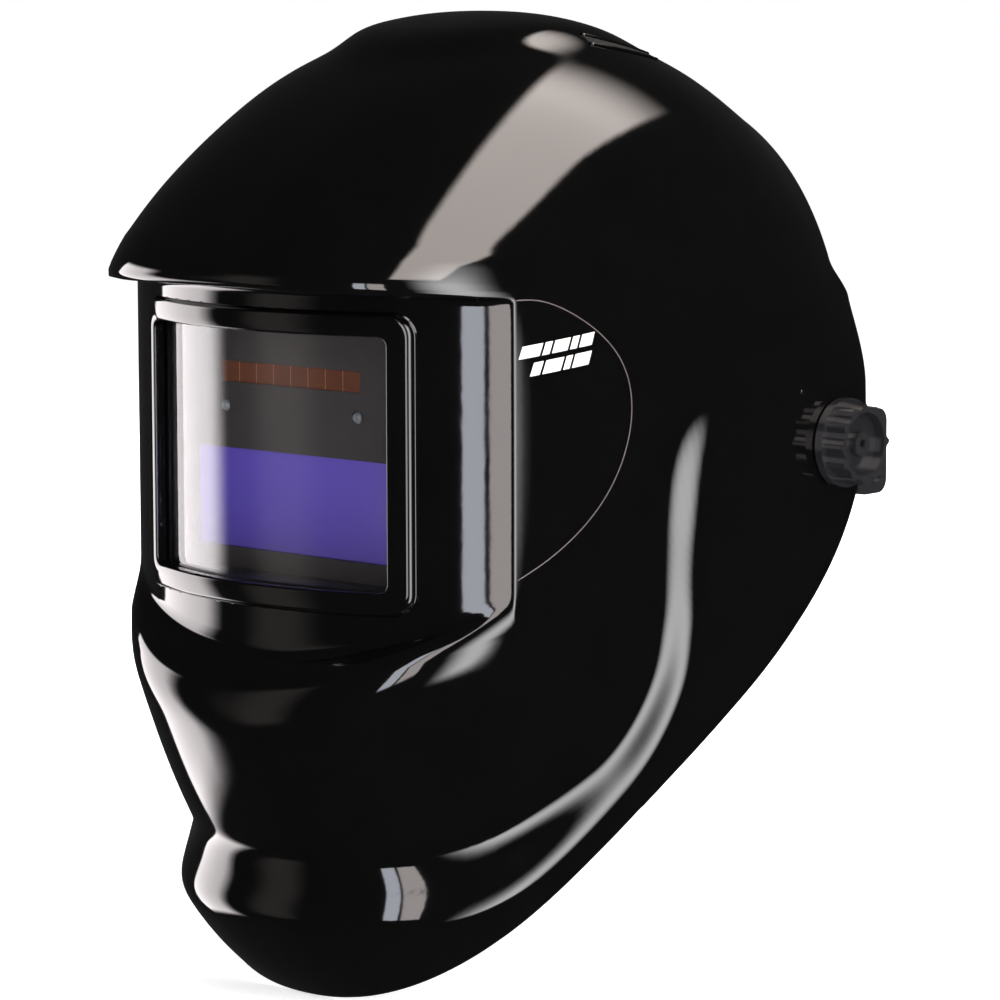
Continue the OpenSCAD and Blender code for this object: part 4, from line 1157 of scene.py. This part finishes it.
# Interference filter: stacked metal films that mirror violet and pass green
violet, violet_shader = finish("violet_interference_coating", "#5a49ae", Roughness=0.06,
                               Metallic=0.0, IOR=2.0)
varied(violet, violet_shader, "Base Color", "#5343a6", "#6a58bd", 14)
# Liquid crystal glass between polarisers: dark olive, polished
crystal, crystal_shader = finish("liquid_crystal_glass", "#26301f", Roughness=0.08)
varied(crystal, crystal_shader, "Base Color", "#232c1d", "#2c3825", 20)
# Photodiode under a smoked lens: small and glossy; its grey is lightened, with paler patches, as a
# painted highlight of the bright glass bead
sensor_lens_painted_glint, sensor_glint_shader = finish("smoked_sensor_lens", "#5c6064", Roughness=0.05, IOR=1.6)
varied(sensor_lens_painted_glint, sensor_glint_shader, "Base Color", "#4c5054", "#8a8e92", 700)

finishes = {
    "lens_gasket": rubber, "filter_holder": satin_black, "holder_screws": zinc,
    "filter_retainer": satin_black, "retainer_pins": zinc, "cartridge_front": plate_grey,
    "cartridge_back": satin_black, "interference_filter": violet,
    "liquid_crystal_cell": crystal, "rear_polariser": crystal, "arc_sensors": sensor_lens_painted_glint,
    "circuit_board": laminate, "coin_cells": zinc, "potentiometers": blue_plastic,
    "shade_dial": knob_black, "sensitivity_dial": knob_black, "delay_slider": grey_plastic,
    "inner_cover_lens": clear, "pivot_bush_left": satin_black, "pivot_bush_right": satin_black,
    "outer_washer_left": satin_black, "outer_washer_right": satin_black,
    "knob_insert_left": brass, "knob_insert_right": brass, "tilt_lever_left": knob_black,
    "tilt_lever_right": knob_black, "friction_washer_left": fibre,
    "friction_washer_right": fibre, "pivot_bolt_left": satin_black,
    "pivot_bolt_right": satin_black, "side_arm_left": headgear_plastic,
    "side_arm_right": headgear_plastic, "arm_rivets": zinc, "headband": headgear_plastic,
    "sweatband": headgear_plastic, "crown_strap_left": headgear_plastic,
    "crown_strap_right": headgear_plastic, "crown_peg": satin_black, "strap_rivets": zinc,
    "rear_strap_left": headgear_plastic, "rear_strap_right": headgear_plastic,
    "ratchet_housing": satin_black, "ratchet_cover": satin_black, "ratchet_screws": zinc,
    "pawl_spring": zinc, "ratchet_pinion": satin_black, "ratchet_knob": knob_black,
    "nape_pad": headgear_plastic, "knob_left": knob_black, "knob_right": knob_black,
    "solar_panel": cells,
}
beveled = {"tilt_lever_left": 0.5, "tilt_lever_right": 0.5, "side_arm_left": 0.6,
           "side_arm_right": 0.6, "ratchet_housing": 0.8, "ratchet_cover": 0.6,
           "pivot_bolt_left": 0.4, "pivot_bolt_right": 0.4, "crown_peg": 0.4,
           "shade_dial": 0.25, "sensitivity_dial": 0.25, "filter_retainer": 0.4,
           "cartridge_back": 0.4, "cartridge_front": 0.25, "arm_rivets": 0.3,
           "knob_left": 0.7, "knob_right": 0.7, "ratchet_knob": 0.8,
           "strap_rivets": 0.3, "ratchet_screws": 0.2, "holder_screws": 0.2}
for name, item in frame["nodes"].items():
    if item.hide_render:
        continue
    item.data.materials.clear()
    item.data.materials.append(finishes[name])
    if name in beveled:
        edge = item.modifiers.new("edge", "BEVEL")
        edge.width = beveled[name] * MM
        edge.segments = 2
        edge.limit_method = "ANGLE"
print("CAD pieces with a finish:", len(finishes))

# %% Hand over
# The floor was laid under the CAD model; now it goes down to the lowest piece made
full_box = [list(corner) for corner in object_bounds()]
floor.location.z = full_box[0][2]
